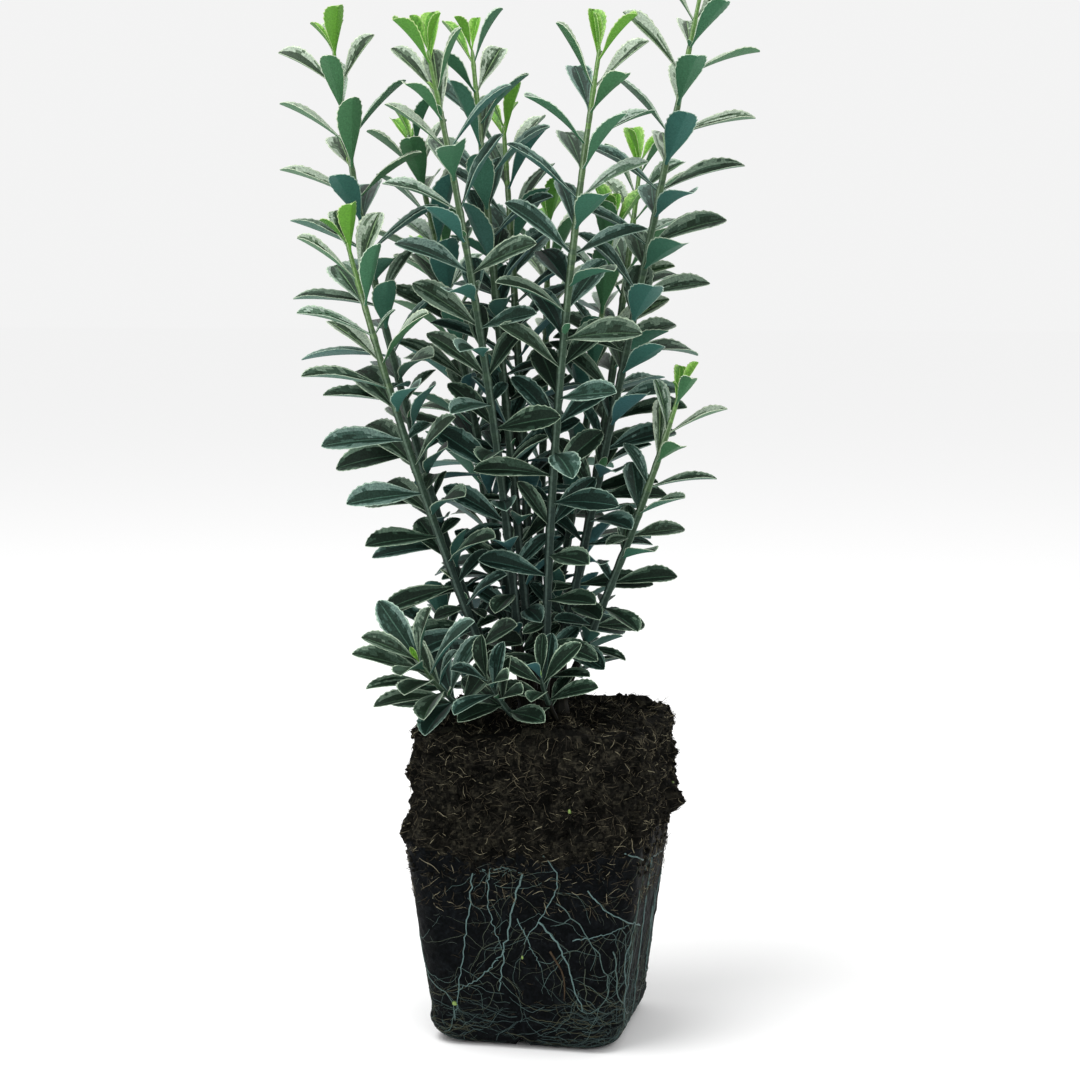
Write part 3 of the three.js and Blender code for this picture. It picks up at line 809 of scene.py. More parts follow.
def settled(leaf):
    """A leaf straighter than the source's between the same ends, and turned outwards low at the front."""
    root, along, face, side = leaf["frame"]
    own = mix(FRONT_LEAST, 1, (leaf["roll"] / LEAF_ROLL_LOW + 1) / 2)
    low = own * rise(leaf["below"], *FRONT_BELOW) * rise(CROWN_AXIS[1] - root[1], 0, FRONT_BEFORE)
    if leaf["shoot"].twig or leaf.get("bud"):
        low = 0
    turn = -leaf["curl"] * (1 - CURL_KEPT) / 2 - low * FRONT_HANG * max(0, along @ FRONT) ** 2
    along, face = turned(along, side, turn), turned(face, side, turn)
    face = unit(face + low * FRONT_TURN * (FRONT - along * (FRONT @ along)))
    return dict(leaf, curl=leaf["curl"] * CURL_KEPT, frame=(root, along, face, np.cross(along, face)))


def streaked(leaf, zone, rows, rng):
    """The upper face's colours: dark along the rib and paler outwards, in streaks that run along the leaf."""
    middles = (np.append(0, INNER_COLUMNS) + np.append(INNER_COLUMNS, 1)) / 2
    away = np.concatenate([middles[::-1], middles])
    grain = rng.normal(0, 1, (rows, len(away)))
    for row in range(1, rows):
        grain[row] = 0.8 * grain[row - 1] + 0.6 * grain[row]
    level = away - leaf["darkness"] + STREAK * grain
    shades = np.array([zone["dark"], zone["mid"], zone["pale"]])
    slots = shades[np.searchsorted(ZONE_ENDS[leaf["age"]], level)]
    middle = len(middles)
    slots[:, [middle - 1, middle]] = zone["rib"]
    slots = np.pad(slots, ((0, 0), (1, 1)), constant_values=zone["margin"])
    slots[-1, [1, 2, -3, -2]] = zone["margin"]
    return slots


def leaf_faces(rows, across, beneath):
    """Faces of a leaf's upper sheet, of its under sheet, whose points come next, and of their edge."""
    first = rows * across
    i = np.arange(rows - 1)
    left_top, left_low = i * across, first + i * beneath
    right_top, right_low = left_top + across - 1, left_low + beneath - 1
    left = [left_top, left_top + across, left_low + beneath, left_top, left_low + beneath, left_low]
    right = [right_top, right_low + beneath, right_top + across, right_top, right_low, right_low + beneath]
    edge = [np.stack(rim, axis=1).reshape(-1, 3) for rim in (left, right)]
    for row, flip in ((0, False), (rows - 1, True)):
        ring = [row * across + j for j in range(across)]
        ring += [first + row * beneath + j for j in reversed(range(beneath))]
        fan = np.array([(ring[0], ring[j + 1], ring[j]) for j in range(1, len(ring) - 1)])
        edge.append(fan[:, ::-1] if flip else fan)
    under = grid_triangles(rows, beneath)[:, ::-1] + first
    return grid_triangles(rows, across), under, np.vstack(edge)


def add_leaf(pile, leaf, kinds, rng, rows):
    """One closed leaf: a folded, wavy upper face in zones, a plain underside, and a thin rim between them."""
    spoon = (TWIG_SPOON if leaf["shoot"].twig else 1) * (1 - rise(leaf["below"], *SPOON_BELOW))
    young = 1 - rise(leaf["below"], *YOUNG_BELOW)
    slim = mix(*SLIM, young)
    fold_share = mix(LEAF_FOLD, TIP_FOLD, young)
    step = np.linspace(0, 1, rows)
    start = mix(step, 1 - (1 - step) ** 1.5, 0.6)
    jitter = rng.uniform(-1, 1, (rows, 2, 1))
    zigzag = np.where(np.arange(rows) % 2, 1, -1)
    drift = 0.05 * np.sin(7 * start + rng.uniform(0, 6))[:, None, None]
    inner = INNER_COLUMNS + (INNER_COLUMNS > 0.1) * (drift + 0.02 * jitter)
    margin = leaf["margin"] + MARGIN_JITTER * rng.uniform(-1, 1, (rows, 2, 1))
    margin = margin - MARGIN_WIDENS * rise(start, 0.7, 1)[:, None, None]
    half = np.concatenate([inner, margin, np.ones((rows, 2, 1))], axis=2)
    upper = np.concatenate([-half[:, 0, ::-1], np.zeros((rows, 1)), half[:, 1]], axis=1)
    under = np.broadcast_to(UNDER_COLUMNS, (rows, len(UNDER_COLUMNS)))
    phase = rng.uniform(0, 2 * np.pi, 2)
    wave = rng.uniform(*WAVE) * leaf["width"] / WAVE_WIDTH
    tooth = TOOTH_DEPTH * rise(start, 0.35, 0.6) * (1 - rise(start, 0.95, 1)) * (zigzag > 0)

    def sheet(v, below):
        sweep = VEIN_SWEEP * np.abs(v) * (start * (1 - start) * 4)[:, None]
        t = np.minimum(start[:, None] + sweep, 1)
        share = v * outline(t, spoon)
        share = share * (1 - tooth[:, None] * rise(np.abs(v), 0.8, 1))
        across = share * slim * leaf["width"] / 2
        fold = fold_share * leaf["width"] * np.abs(share) ** FOLD_POWER
        ripple = np.sin(RIPPLE * t + np.where(v < 0, phase[0], phase[1]))
        quilt = mix(*QUILT, young) * zigzag[:, None] * np.abs(share) * (1 - np.abs(v)) * 4
        groove = np.where(v == 0, -GROOVE, 0)
        height = fold + wave * ripple * share**2 + quilt + groove
        if below:
            keel = np.where(np.abs(v) < 0.1, KEEL * (1 - t), 0)
            height = height - BLADE_THICKNESS * (1 - 0.5 * np.abs(v)) - keel - groove
        return on_leaf(leaf, t, across, height)

    top, bottom = sheet(upper, False), sheet(under, True)
    points = np.vstack([top.reshape(-1, 3), bottom.reshape(-1, 3)])
    faces = leaf_faces(rows, upper.shape[1], under.shape[1])
    shades = LEAF_COLOURS[leaf["age"]]
    zone = {z: kinds[leaf["age"], z, leaf["shade"] % len(shades[z])] for z in shades}
    top_slots = streaked(leaf, zone, rows - 1, rng)
    under_slots = np.full((rows - 1, under.shape[1] - 1), zone["under"])
    under_slots[:, [0, -1]] = zone["margin"]
    edge_slots = np.full(len(faces[2]), zone["margin"])
    slots = np.concatenate([np.repeat(top_slots.ravel(), 2), np.repeat(under_slots.ravel(), 2), edge_slots])
    pile.add(points, np.vstack(faces), slots, np.repeat([True, True, False], [len(f) for f in faces]))


def depth_inside(leaf):
    """How far inside the plant a leaf lies, from 0 at the outside to 1 at its middle."""
    u, w, z = on_leaf(leaf, 0.5, 0, 0)
    half = np.interp(z, CROWN_HEIGHTS, CROWN_HALVES)
    return max(0.0, 1 - math.hypot(u - CROWN_AXIS[0], w - CROWN_AXIS[1]) / half)


def age_of(leaf, rng):
    """The class of age and painted shade that a leaf's colours show. One deep in the plant takes a darker
    class as painted shade, and a small new one a younger class.
    """
    if leaf.get("bud"):
        fresh = TWIG_FRESH_BUDS if leaf["shoot"].twig else FRESH_BUDS
        return "tip" if leaf["below"] < 0.02 or rng.random() < fresh - leaf["below"] else "upper"
    place = leaf["below"] + rng.uniform(-AGE_JITTER, AGE_JITTER)
    # A leaf deep in the plant takes a darker class: painted shade
    if place > 0.1:
        place += INNER_SHADE_STEP * rise(depth_inside(leaf), *INNER_SHADE_FROM)
    return AGES_AND_SHADES[max(leaf["shoot"].youngest_age_and_shade, int(np.searchsorted(AGE_AND_SHADE_LIMITS, place)))]


def dress(shoot, materials, rng):
    """A shoot's leaves as one piece."""
    pile = Pile(f"leaves_{shoot.name}")
    kinds = pile.slots_of(materials)
    for leaf in shoot.leaves:
        leaf["age"] = age_of(leaf, rng)
        # Leaves further inside take the cool colours more often: a painted cool tint of shade
        leaf["shade"] = int(rng.random() < mix(COOL_OUTSIDE, COOL_INSIDE_SHADE, depth_inside(leaf)))
        leaf["margin"] = rng.uniform(*MARGIN_FROM) + MARGIN_NARROWS * rise(leaf["below"], 0.2, 0.7)
        leaf["darkness"] = rng.uniform(*DARKNESS)
        rows = BUD_ROWS if leaf["length"] < BUD_LENGTH else LEAF_ROWS
        add_leaf(pile, settled(leaf), kinds, rng, rows)
    return pile.build([f"foliage_{shoot.name}"], crown=True)


# Stems

STEM_STEP = 2.5
STEM_SIDES = 12
RIDGE = 0.1  # how far the four angles of a green stem stand out, as a share of its radius
STOUT = 0.96  # how thick a ridged stem is, as a share of the source's plain round one
KNOT = 0.28  # how far a stem swells where a pair of leaves leaves it
KNOT_REACH = 1.9
STEM_END = 2  # how long the narrower end of a stem is
STEM_END_SHARE = 0.6
STEM_PLACES = [0, 0.12, 0.42, 0.8]  # shares of a shoot below its tip that these stem colours belong to
STEM_COLOURS = {
    "furrow": [(104, 146, 74), (90, 116, 76), (56, 76, 60), (38, 52, 48)],
    "ridge": [(132, 166, 104), (134, 154, 122), (90, 110, 94), (70, 86, 80)],
}
BARK_COLOURS = {"furrow": (22, 22, 18), "ridge": (35, 34, 28)}
STEM_GRADES = 10
STEM_LOOK = (0.6, 1.4, 0.25, 0.22, 0.1)
BARK_LOOK = (0.6, 2.2, 0.3, 0.3, 0.1)
MAIN_ROWS = 22
MAIN_SIDES = 40


def noise_round(angles, radius, x, y, z):
    """Noise at places on a level ring."""
    ring = [(x + radius * math.cos(a), y + radius * math.sin(a), z) for a in angles]
    return np.array([noise.noise(Vector(place)) for place in ring])


def stem_materials():
    """Finishes for the furrows and ridges: one each for bark, and one for each grade from the tip down."""
    made = {}
    for part, shades in STEM_COLOURS.items():
        for grade in range(STEM_GRADES):
            place = (grade + 0.5) / STEM_GRADES
            shown = [np.interp(place, STEM_PLACES, channel) for channel in zip(*shades)]
            made[grade, part] = surface(f"stem_{part}_{grade}", shown, STEM_LOOK)
        made["bark", part] = surface(f"bark_{part}", BARK_COLOURS[part], BARK_LOOK)
    return made


def add_stem(shoot, materials, rng):
    """A shoot's whole stem: barked at its foot, four-angled and green above, with a knot at each pair."""
    pile = Pile(f"stem_{shoot.name}")
    kinds = pile.slots_of(materials)
    rows = int(shoot.length / STEM_STEP)
    at = np.linspace(0, shoot.length, rows)
    at[0] = 0.02
    angle = np.linspace(0, 2 * np.pi, STEM_SIDES, endpoint=False)
    points = np.empty((rows, STEM_SIDES, 3))
    knots = np.array(shoot.nodes)
    for i, place in enumerate(at):
        axis = shoot.axis(place)
        centre = shoot.point(place)
        first, second = square_to(axis, shoot.turn), square_to(axis, shoot.turn + 90)
        woody = 1 - rise(place, shoot.bare, shoot.bare * 2.2)
        ridges = RIDGE * (1 - woody) * np.cos(4 * (angle - math.pi / 4))
        swell = np.zeros(STEM_SIDES)
        for node, turn in knots[np.abs(knots[:, 0] - place) < 6]:
            facing = np.cos(angle - math.radians(turn - shoot.turn)) ** 2
            swell += KNOT * math.exp(-(((node - place) / KNOT_REACH) ** 2)) * (0.35 + 0.65 * facing)
        rough = noise_round(angle, 3, 0, 0, place / 5 + shoot.turn)
        radius = shoot.radius_at(place) * STOUT * (1 + ridges + swell + (0.05 + 0.13 * woody) * rough)
        if place > shoot.length - STEM_END:
            radius = radius * STEM_END_SHARE
        ring = np.cos(angle)[:, None] * first + np.sin(angle)[:, None] * second
        points[i] = centre + radius[:, None] * ring
    level = points[0, :, 2].min()
    points[0, :, 2] = shoot.point(0)[2]
    points[1:, :, 2] = np.maximum(points[1:, :, 2], level)
    below = 1 - at[:-1] / shoot.length + rng.uniform(-AGE_JITTER, AGE_JITTER, rows - 1)
    below = np.maximum(below, AGE_AND_SHADE_LIMITS[shoot.youngest_age_and_shade - 1] if shoot.youngest_age_and_shade else 0)
    grade = np.clip(below * STEM_GRADES, 0, STEM_GRADES - 1).astype(int)
    barked = at[:-1] < shoot.bare * rng.uniform(1.1, 1.8)
    on_ridge = np.cos(4 * (angle + math.pi / STEM_SIDES - math.pi / 4)) > 0.5
    slots = np.empty((rows - 1, STEM_SIDES), int)
    for i in range(rows - 1):
        name = "bark" if barked[i] else grade[i]
        slots[i] = np.where(on_ridge, kinds[name, "ridge"], kinds[name, "furrow"])
    pile.add_tube(points, slots, kinds["bark", "furrow"], kinds["bark", "furrow"])
    return pile.build([f"bough_{shoot.name}"], crown=True)


def main_stems(materials):
    """The short main stems, with furrowed bark, a flared foot and a lumpy fork."""
    pile = Pile("main_stems")
    dark, light = (pile.slot_of(materials["bark", part]) for part in ("furrow", "ridge"))
    angle = np.linspace(0, 2 * np.pi, MAIN_SIDES, endpoint=False)
    for u, w in MAIN_STEMS.values():
        points = np.empty((MAIN_ROWS, MAIN_SIDES, 3))
        for i, share in enumerate(np.linspace(0, 1, MAIN_ROWS)):
            flare = MAIN_FLARE * (1 - rise(share, 0, 0.55)) + MAIN_FORK * rise(share, 0.5, 1)
            radius = MAIN_RADIUS + flare + 0.5 * noise_round(angle, 4, u, w, share)
            if share == 1:
                radius *= 0.93
            points[i, :, 0] = u + radius * np.cos(angle)
            points[i, :, 1] = w + radius * np.sin(angle)
            points[i, :, 2] = BALL_HEIGHT + SEAT_GAP + MAIN_HEIGHT * share
        slots = np.where(noise_round(angle, 6, u, 0, w) > 0, dark, light)
        pile.add_tube(points, np.tile(slots, MAIN_ROWS - 1), light, light)
    return pile.build([f"main_stem_{name}" for name in MAIN_STEMS], crown=True)


# Root ball. A place on its side is q, how far round it is in quarter turns, from 0 at the middle of the
# front through 0.5 at the right-hand corner to 1 at the middle of the right-hand side; and z, its height.


QUARTER = 98  # about how far round the ball a quarter turn is


def half_width(z):
    heel = np.clip(1 - z / BALL_HEEL_HEIGHT, 0, 1)
    low = mix(BALL_FOOT_HALF, BALL_HEEL_HALF, np.sqrt(1 - heel**2))
    share = (z - BALL_HEEL_HEIGHT) / (BALL_WIDEST_HEIGHT - BALL_HEEL_HEIGHT)
    side = mix(BALL_HEEL_HALF, BALL_WIDEST_HALF, share)
    loose = mix(BALL_WIDEST_HALF, BALL_TOP_HALF, rise(z, BALL_WIDEST_HEIGHT, BALL_WIDEST_HEIGHT + 20))
    over = np.clip((z - BALL_HEIGHT + BALL_SHOULDER) / BALL_SHOULDER, 0, 1)
    loose = loose - BALL_SHOULDER * (1 - np.sqrt(1 - over**2))
    return np.where(z < BALL_HEEL_HEIGHT, low, np.where(z < BALL_WIDEST_HEIGHT, side, loose))


def section(q, half, corner):
    """Points and outward directions on a rounded square, at quarter turns q from the middle of its front."""
    quarter = np.floor(q + 0.5)
    flat = half - corner
    arc = corner * math.pi / 2
    run = (q - quarter) * (2 * flat + arc)
    over = np.clip(np.abs(run) - flat, 0, arc / 2) * np.sign(run)
    angle = over / corner
    along = np.clip(run, -flat, flat) + corner * np.sin(angle)
    out = flat + corner * np.cos(angle)
    turn = quarter * math.pi / 2
    cos, sin = np.cos(turn), np.sin(turn)
    points = np.stack([along * cos + out * sin, along * sin - out * cos], axis=-1)
    heading = turn + angle
    return points, np.stack([np.sin(heading), -np.cos(heading)], axis=-1)


def fractal(point, size, octaves):
    return noise.fractal(Vector(point) / size, 1.0, 2.1, octaves)


LOOSE_FROM = BALL_WIDEST_HEIGHT - 8  # about how high the loose mulch begins
LOOSE_WAVES = 14  # how far its border waves up and down
LOOSE_JAGS = 7
LOOSE_BLUR = 4


def looseness(q, z):
    """From 0 in the moulded part of the ball to 1 in the loose mulch above it, with a ragged border."""
    border = LOOSE_FROM + LOOSE_WAVES * noise.noise(Vector((q * 3.1, 4.7, z * 0.01)))
    border += LOOSE_JAGS * noise.noise(Vector((q * 17, 1.3, z * 0.06)))
    return float(rise(z, border - LOOSE_BLUR, border + LOOSE_BLUR))


# Clods that stand out of the side: place (q, z), reach and height
CLODS = [(1.25, 114, 7, 5.5), (-0.55, 109, 9, 1.4), (-0.5, 148, 8, 2), (1.9, 128, 9, 3), (2.5, 117, 8, 3)]


def clods(q, z):
    swell = 0
    for middle, level, reach, height in CLODS:
        around = (q - middle + 2) % 4 - 2
        away = math.hypot(around * QUARTER, z - level) / reach
        swell += height * math.exp(-(away**4))
    return swell


HEAP = 4.2  # how far the heaps on the ball's top rise and sink
HEAP_SIZE = 17
STEM_NEAR, STEM_FAR = 9, 20  # the mulch doesn't sink within the first distance of a main stem
HOLLOW_SIZE = 11
HOLLOW_DEPTH = 2.2
PIT_DEPTH = 1.3
GRIT_SIZE = 4.2


def hummock(place):
    """How far the top of the mulch is heaped up at a place. It reaches the feet of all main stems."""
    x, y = place[0], place[1]
    heaped = HEAP * fractal((x, y, 9), HEAP_SIZE, 3)
    nearest = min(math.hypot(x - u, y - w) for u, w in MAIN_STEMS.values())
    return mix(max(heaped, 0) + 1, heaped, float(rise(nearest, STEM_NEAR, STEM_FAR)))


def hollow(place):
    """How much a place on the mulch lies in a hollow, from 0 to 1. The mulch sinks there, and its colour is
    darkened there as painted shade.
    """
    return float(rise(fractal(place, HOLLOW_SIZE, 3), 0.05, 0.45))


def lumpy(point, size, height, grit, sunk):
    """How far lumps of a size, with grit on them, stand out of a surface that is sunk a little."""
    return height * fractal(point, size, 5) + grit * abs(fractal(point, GRIT_SIZE, 4)) - sunk


def relief(q, z, point):
    """How far the ball's surface stands out or in at a place."""
    loose = lumpy(point, 13, 4.2, 2.4, 0.8)
    loose += clods(q, z) - HOLLOW_DEPTH * hollow(point)
    pits = -PIT_DEPTH * max(0.0, noise.noise(Vector(point) / 3.1) - 0.25)
    moulded = 0.45 * fractal(point, 7, 4) + pits
    return mix(moulded, loose, looseness(q, z))


def on_ball(q, z, lift=0.0):
    """Points on the ball's side with its relief, raised by a lift, and their outward directions."""
    q, z, lift = np.broadcast_arrays(np.asarray(q, float), np.asarray(z, float), np.asarray(lift, float))
    corner = np.where(z < BALL_HEEL_HEIGHT, BALL_CORNER * 0.8, BALL_CORNER)
    flat, out = section(q, half_width(z), corner)
    points = np.concatenate([flat, z[..., None]], axis=-1)
    points[..., 0] += BALL_SPILL * rise(z, BALL_WIDEST_HEIGHT - 2, BALL_WIDEST_HEIGHT + 8)
    mound = np.array([hummock(p) for p in points.reshape(-1, 3)]).reshape(q.shape)
    points[..., 2] += mound * rise(z, BALL_HEIGHT - 18, BALL_HEIGHT)
    tilt = 0.11 - 0.9 * np.clip(1 - z / BALL_HEEL_HEIGHT, 0, 1)
    normals = np.concatenate([out, np.where(z < BALL_WIDEST_HEIGHT, tilt - 0.22, 0)[..., None]], axis=-1)
    normals /= np.linalg.norm(normals, axis=-1, keepdims=True)
    high = np.array([relief(a, b, p) for a, b, p in zip(q.ravel(), z.ravel(), points.reshape(-1, 3))])
    fade = rise(z, 0, 3) * (1 - 0.6 * rise(z, BALL_HEIGHT - 4, BALL_HEIGHT))
    return points + normals * (high.reshape(q.shape) * fade + lift)[..., None], normals


SOIL_COLOURS = {
    "mulch_dark": (12, 12, 10),
    "mulch": (20, 19, 16),
    "mulch_light": (30, 29, 24),
    "mulch_pale": (42, 40, 33),
    "mould_dark": (4, 6, 7),
    "mould": (7, 9, 11),
    "mould_light": (12, 15, 17),
}


SOIL_LOOKS = {"mulch": (0.85, 0.8, 0.8, 0.5, 0.03), "mould": (0.6, 1.3, 0.5, 0.4, 0.03)}


def soil_materials():
    looks = {name: SOIL_LOOKS[name.split("_")[0]] for name in SOIL_COLOURS}
    return {name: surface(name, shown, looks[name]) for name, shown in SOIL_COLOURS.items()}


TONE_ENDS = [-0.2, 0.08, 0.34]  # the patch levels between one tone of soil and the next
MULCH_TONES = ["mulch_dark", "mulch", "mulch_light", "mulch_pale"]
MOULD_TONES = ["mould_dark", "mould", "mould", "mould_light"]
BALL_COLUMNS = 340
BALL_SIDE_ROWS = 150
BALL_TOP_ROWS = 34
BALL_FOOT_ROWS = 10
RINGS_CLOSE = 0.985  # how far the rings over the top and the foot draw in


def top_relief(points):
    """How far the mulch stands up on top of the ball, at places there."""
    return [lumpy(p, 9, 2.4, 2, 0.9) + hummock(p) for p in points]


def soil(materials):
    """The ball's surface: moulded and damp below, loose and crumbly above, notched under its sides."""
    pile = Pile("root_ball_soil")
    kinds = pile.slots_of(materials)
    q = np.arange(BALL_COLUMNS) * 4 / BALL_COLUMNS
    side_z = np.linspace(0, BALL_HEIGHT, BALL_SIDE_ROWS)
    side, _ = on_ball(*np.meshgrid(q, side_z))
    top_rim, foot_rim = side[-1], side[0]
    tops, feet = [], []
    for share in np.linspace(0, 1, BALL_TOP_ROWS + 1)[1:]:
        ring = top_rim * (1 - share * RINGS_CLOSE)
        ring[:, 2] = BALL_HEIGHT
        ring[:, 2] += top_relief(ring)
        tops.append(ring)
    for share in np.linspace(0, 1, BALL_FOOT_ROWS + 1)[1:]:
        ring = foot_rim * (1 - share * RINGS_CLOSE)
        ring[:, 2] = 0
        feet.insert(0, ring)
    points = np.stack([*feet, *side, *tops])
    x, y, z = points[..., 0], points[..., 1], points[..., 2]
    for across, out in ((x, y), (y, x)):
        arch = NOTCH_HEIGHT * (1 - np.clip(np.abs(across) / NOTCH_HALF, 0, 1) ** 2)
        z[:] = np.where((np.abs(out) > NOTCH_INNER) & (z < arch), arch, z)
    z[:] = np.maximum(z, 0)
    rows = len(points)
    middles = (points[:-1] + points[1:]) / 2
    slots = np.empty((rows - 1, BALL_COLUMNS), int)
    for i in range(rows - 1):
        for j in range(BALL_COLUMNS):
            place = middles[i, j]
            loose = looseness(q[j], place[2])
            patch = 0.6 * fractal(place, 6, 2) + 0.8 * fractal(place, 2.2, 3)
            family = "mulch" if loose > 0.5 + 0.3 * patch else "mould"
            # Mulch in hollows takes a darker tone: painted shade
            tone_and_shade = patch - 0.5 * hollow(place) if family == "mulch" else patch
            tones = MULCH_TONES if family == "mulch" else MOULD_TONES
            slots[i, j] = kinds[tones[int(np.searchsorted(TONE_ENDS, tone_and_shade))]]
    pile.add_tube(points, slots, kinds["mould"], kinds["mulch"])
    return pile.build(["root_ball"])


def top_places(rng, count):
    """Places on top of the ball, with the height of its surface there."""
    half = BALL_TOP_HALF - 4
    x = rng.uniform(-half, half, count) + BALL_SPILL
    y = rng.uniform(-half, half, count)
    points = np.stack([x, y, np.full(count, BALL_HEIGHT)], axis=1)
    points[:, 2] += top_relief(points)
    return points


FIBRES_SIDE = 4400
FIBRES_LOW = 700
FIBRES_TOP = 1000
FIBRE_COLOURS = [(98, 92, 75), (68, 63, 51), (44, 41, 34), (144, 138, 114)]
FIBRE_CHOICE = [0.22, 0.36, 0.32, 0.1]
LOW_FIBRE_COLOURS = [(62, 70, 64), (40, 46, 43), (56, 50, 38)]
FIBRE_LOOK = (0.85, 0.8, 0.1, 0.3, 0.1)
FIBRE_STEPS = np.linspace(-0.5, 0.5, 5)
FIBRES_FROM = 72  # the lowest place of those on the mulch
LOW_FIBRES_FROM, LOW_FIBRES_TO = 14, 100


def strands(rng, count, spread):
    """Short bent strands: how far each of their points lies along and above their middle, and their radii."""
    length = 1.8 + rng.gamma(2, 1.3, count)[:, None]
    heading = rng.normal(0, spread, count)[:, None]
    bow = rng.normal(0, 0.08, count)[:, None] * length
    kink = rng.normal(0, 0.03, count)[:, None] * length
    run = FIBRE_STEPS * length
    side = bow * (1 - 4 * FIBRE_STEPS**2) + kink * np.sin(2 * np.pi * FIBRE_STEPS)
    along = run * np.cos(heading) - side * np.sin(heading)
    above = run * np.sin(heading) + side * np.cos(heading)
    radius = rng.uniform(0.07, 0.19, count)[:, None] * (1 - np.abs(FIBRE_STEPS))
    return along, above, radius


def fibres():
    """Short strands of peat and bark on the mulch, and fewer, cooler ones on the moulded part."""
    rng = np.random.default_rng(31)
    pile = Pile("peat_fibres")
    kinds = finishes(pile, "fibre", FIBRE_COLOURS, FIBRE_LOOK)
    cool = finishes(pile, "low_fibre", LOW_FIBRE_COLOURS, FIBRE_LOOK)
    loose = BALL_HEIGHT - 1 - (BALL_HEIGHT - FIBRES_FROM) * rng.random(FIBRES_SIDE) ** 1.25
    low = rng.uniform(LOW_FIBRES_FROM, LOW_FIBRES_TO, FIBRES_LOW)
    for z, slots in (
        (loose, rng.choice(kinds, FIBRES_SIDE, p=FIBRE_CHOICE)),
        (low, rng.choice(cool, FIBRES_LOW)),
    ):
        count = len(z)
        q = rng.uniform(0, 4, count)[:, None]
        along, above, radius = strands(rng, count, 0.9)
        lift = rng.uniform(0.05, 0.8, (count, 1)) + rng.normal(0, 1.6, (count, 1)) * FIBRE_STEPS
        lift = np.where(z[:, None] < FIBRES_FROM, radius * 0.5, np.maximum(lift, -0.3))
        tall = np.clip(z[:, None] + above, 12, BALL_HEIGHT - 1)
        lines, normals = on_ball(q + along / QUARTER, tall, lift)
        tubes(pile, lines, radius, normals[:, 0], 3, slots)
    along, above, radius = strands(rng, FIBRES_TOP, 3)
    lines = np.repeat(top_places(rng, FIBRES_TOP)[:, None], len(FIBRE_STEPS), axis=1)
    lines[..., 0] += along
    lines[..., 1] += above
    lines[..., 2] += rng.uniform(0.2, 1.4, (FIBRES_TOP, 1)) + rng.normal(0, 3, (FIBRES_TOP, 1)) * FIBRE_STEPS
    slots = rng.choice(kinds, FIBRES_TOP, p=FIBRE_CHOICE)
    tubes(pile, lines, radius, np.tile(UP, (FIBRES_TOP, 1)), 3, slots)
    return pile.build()


def lump_shape():
    """A 20-sided lump's corners and faces."""
    g = (1 + 5**0.5) / 2
    level = np.array([(0, a, b * g) for a in (-1, 1) for b in (-1, 1)])
    corners = np.vstack([np.roll(level, -k, axis=1) for k in range(3)]) / math.hypot(1, g)
    faces = []
    for a, b, c in combinations(range(len(corners)), 3):
        sides = [np.linalg.norm(corners[i] - corners[j]) for i, j in ((a, b), (b, c), (a, c))]
        if max(sides) < 1.2:
            facing = np.cross(corners[b] - corners[a], corners[c] - corners[a]) @ corners[a]
            faces.append((a, b, c) if facing > 0 else (a, c, b))
    return corners, np.array(faces)


def lumps(pile, centres, sizes, slots, rng):
    """Uneven lumps at many places."""
    corners, faces = lump_shape()
    count = len(centres)
    stretch = rng.uniform(0.6, 1.25, (count, 1, 3))
    rough = rng.uniform(0.8, 1.2, (count, len(corners), 1))
    points = centres[:, None] + corners[None] * rough * stretch * sizes[:, None, None]
    triangles = faces[None] + (np.arange(count) * len(corners))[:, None, None]
    pile.add(points, triangles, np.repeat(np.broadcast_to(slots, count), len(faces)))


CRUMBS_SIDE = 1500
CRUMBS_TOP = 400
CRUMBS_FROM = 88  # the lowest place of one
CRUMB_TONES = {"mulch_dark": 0.35, "mulch": 0.45, "mulch_light": 0.2}  # with the share of each


def crumbs(materials):
    """Crumbs of mulch that stand out of the loose part of the ball."""
    rng = np.random.default_rng(47)
    pile = Pile("crumbs")
    kinds = [pile.slot_of(materials[name]) for name in CRUMB_TONES]
    shares = list(CRUMB_TONES.values())
    q = rng.uniform(0, 4, CRUMBS_SIDE)
    z = BALL_HEIGHT - 1 - (BALL_HEIGHT - CRUMBS_FROM) * rng.random(CRUMBS_SIDE) ** 1.1
    sizes = rng.uniform(0.5, 1.5, CRUMBS_SIDE)
    places, _ = on_ball(q, z)
    lumps(pile, places, sizes, rng.choice(kinds, CRUMBS_SIDE, p=shares), rng)
    sizes = rng.uniform(0.6, 1.9, CRUMBS_TOP)
    slots = rng.choice(kinds, CRUMBS_TOP, p=shares)
    lumps(pile, top_places(rng, CRUMBS_TOP), sizes, slots, rng)
    return pile.build()


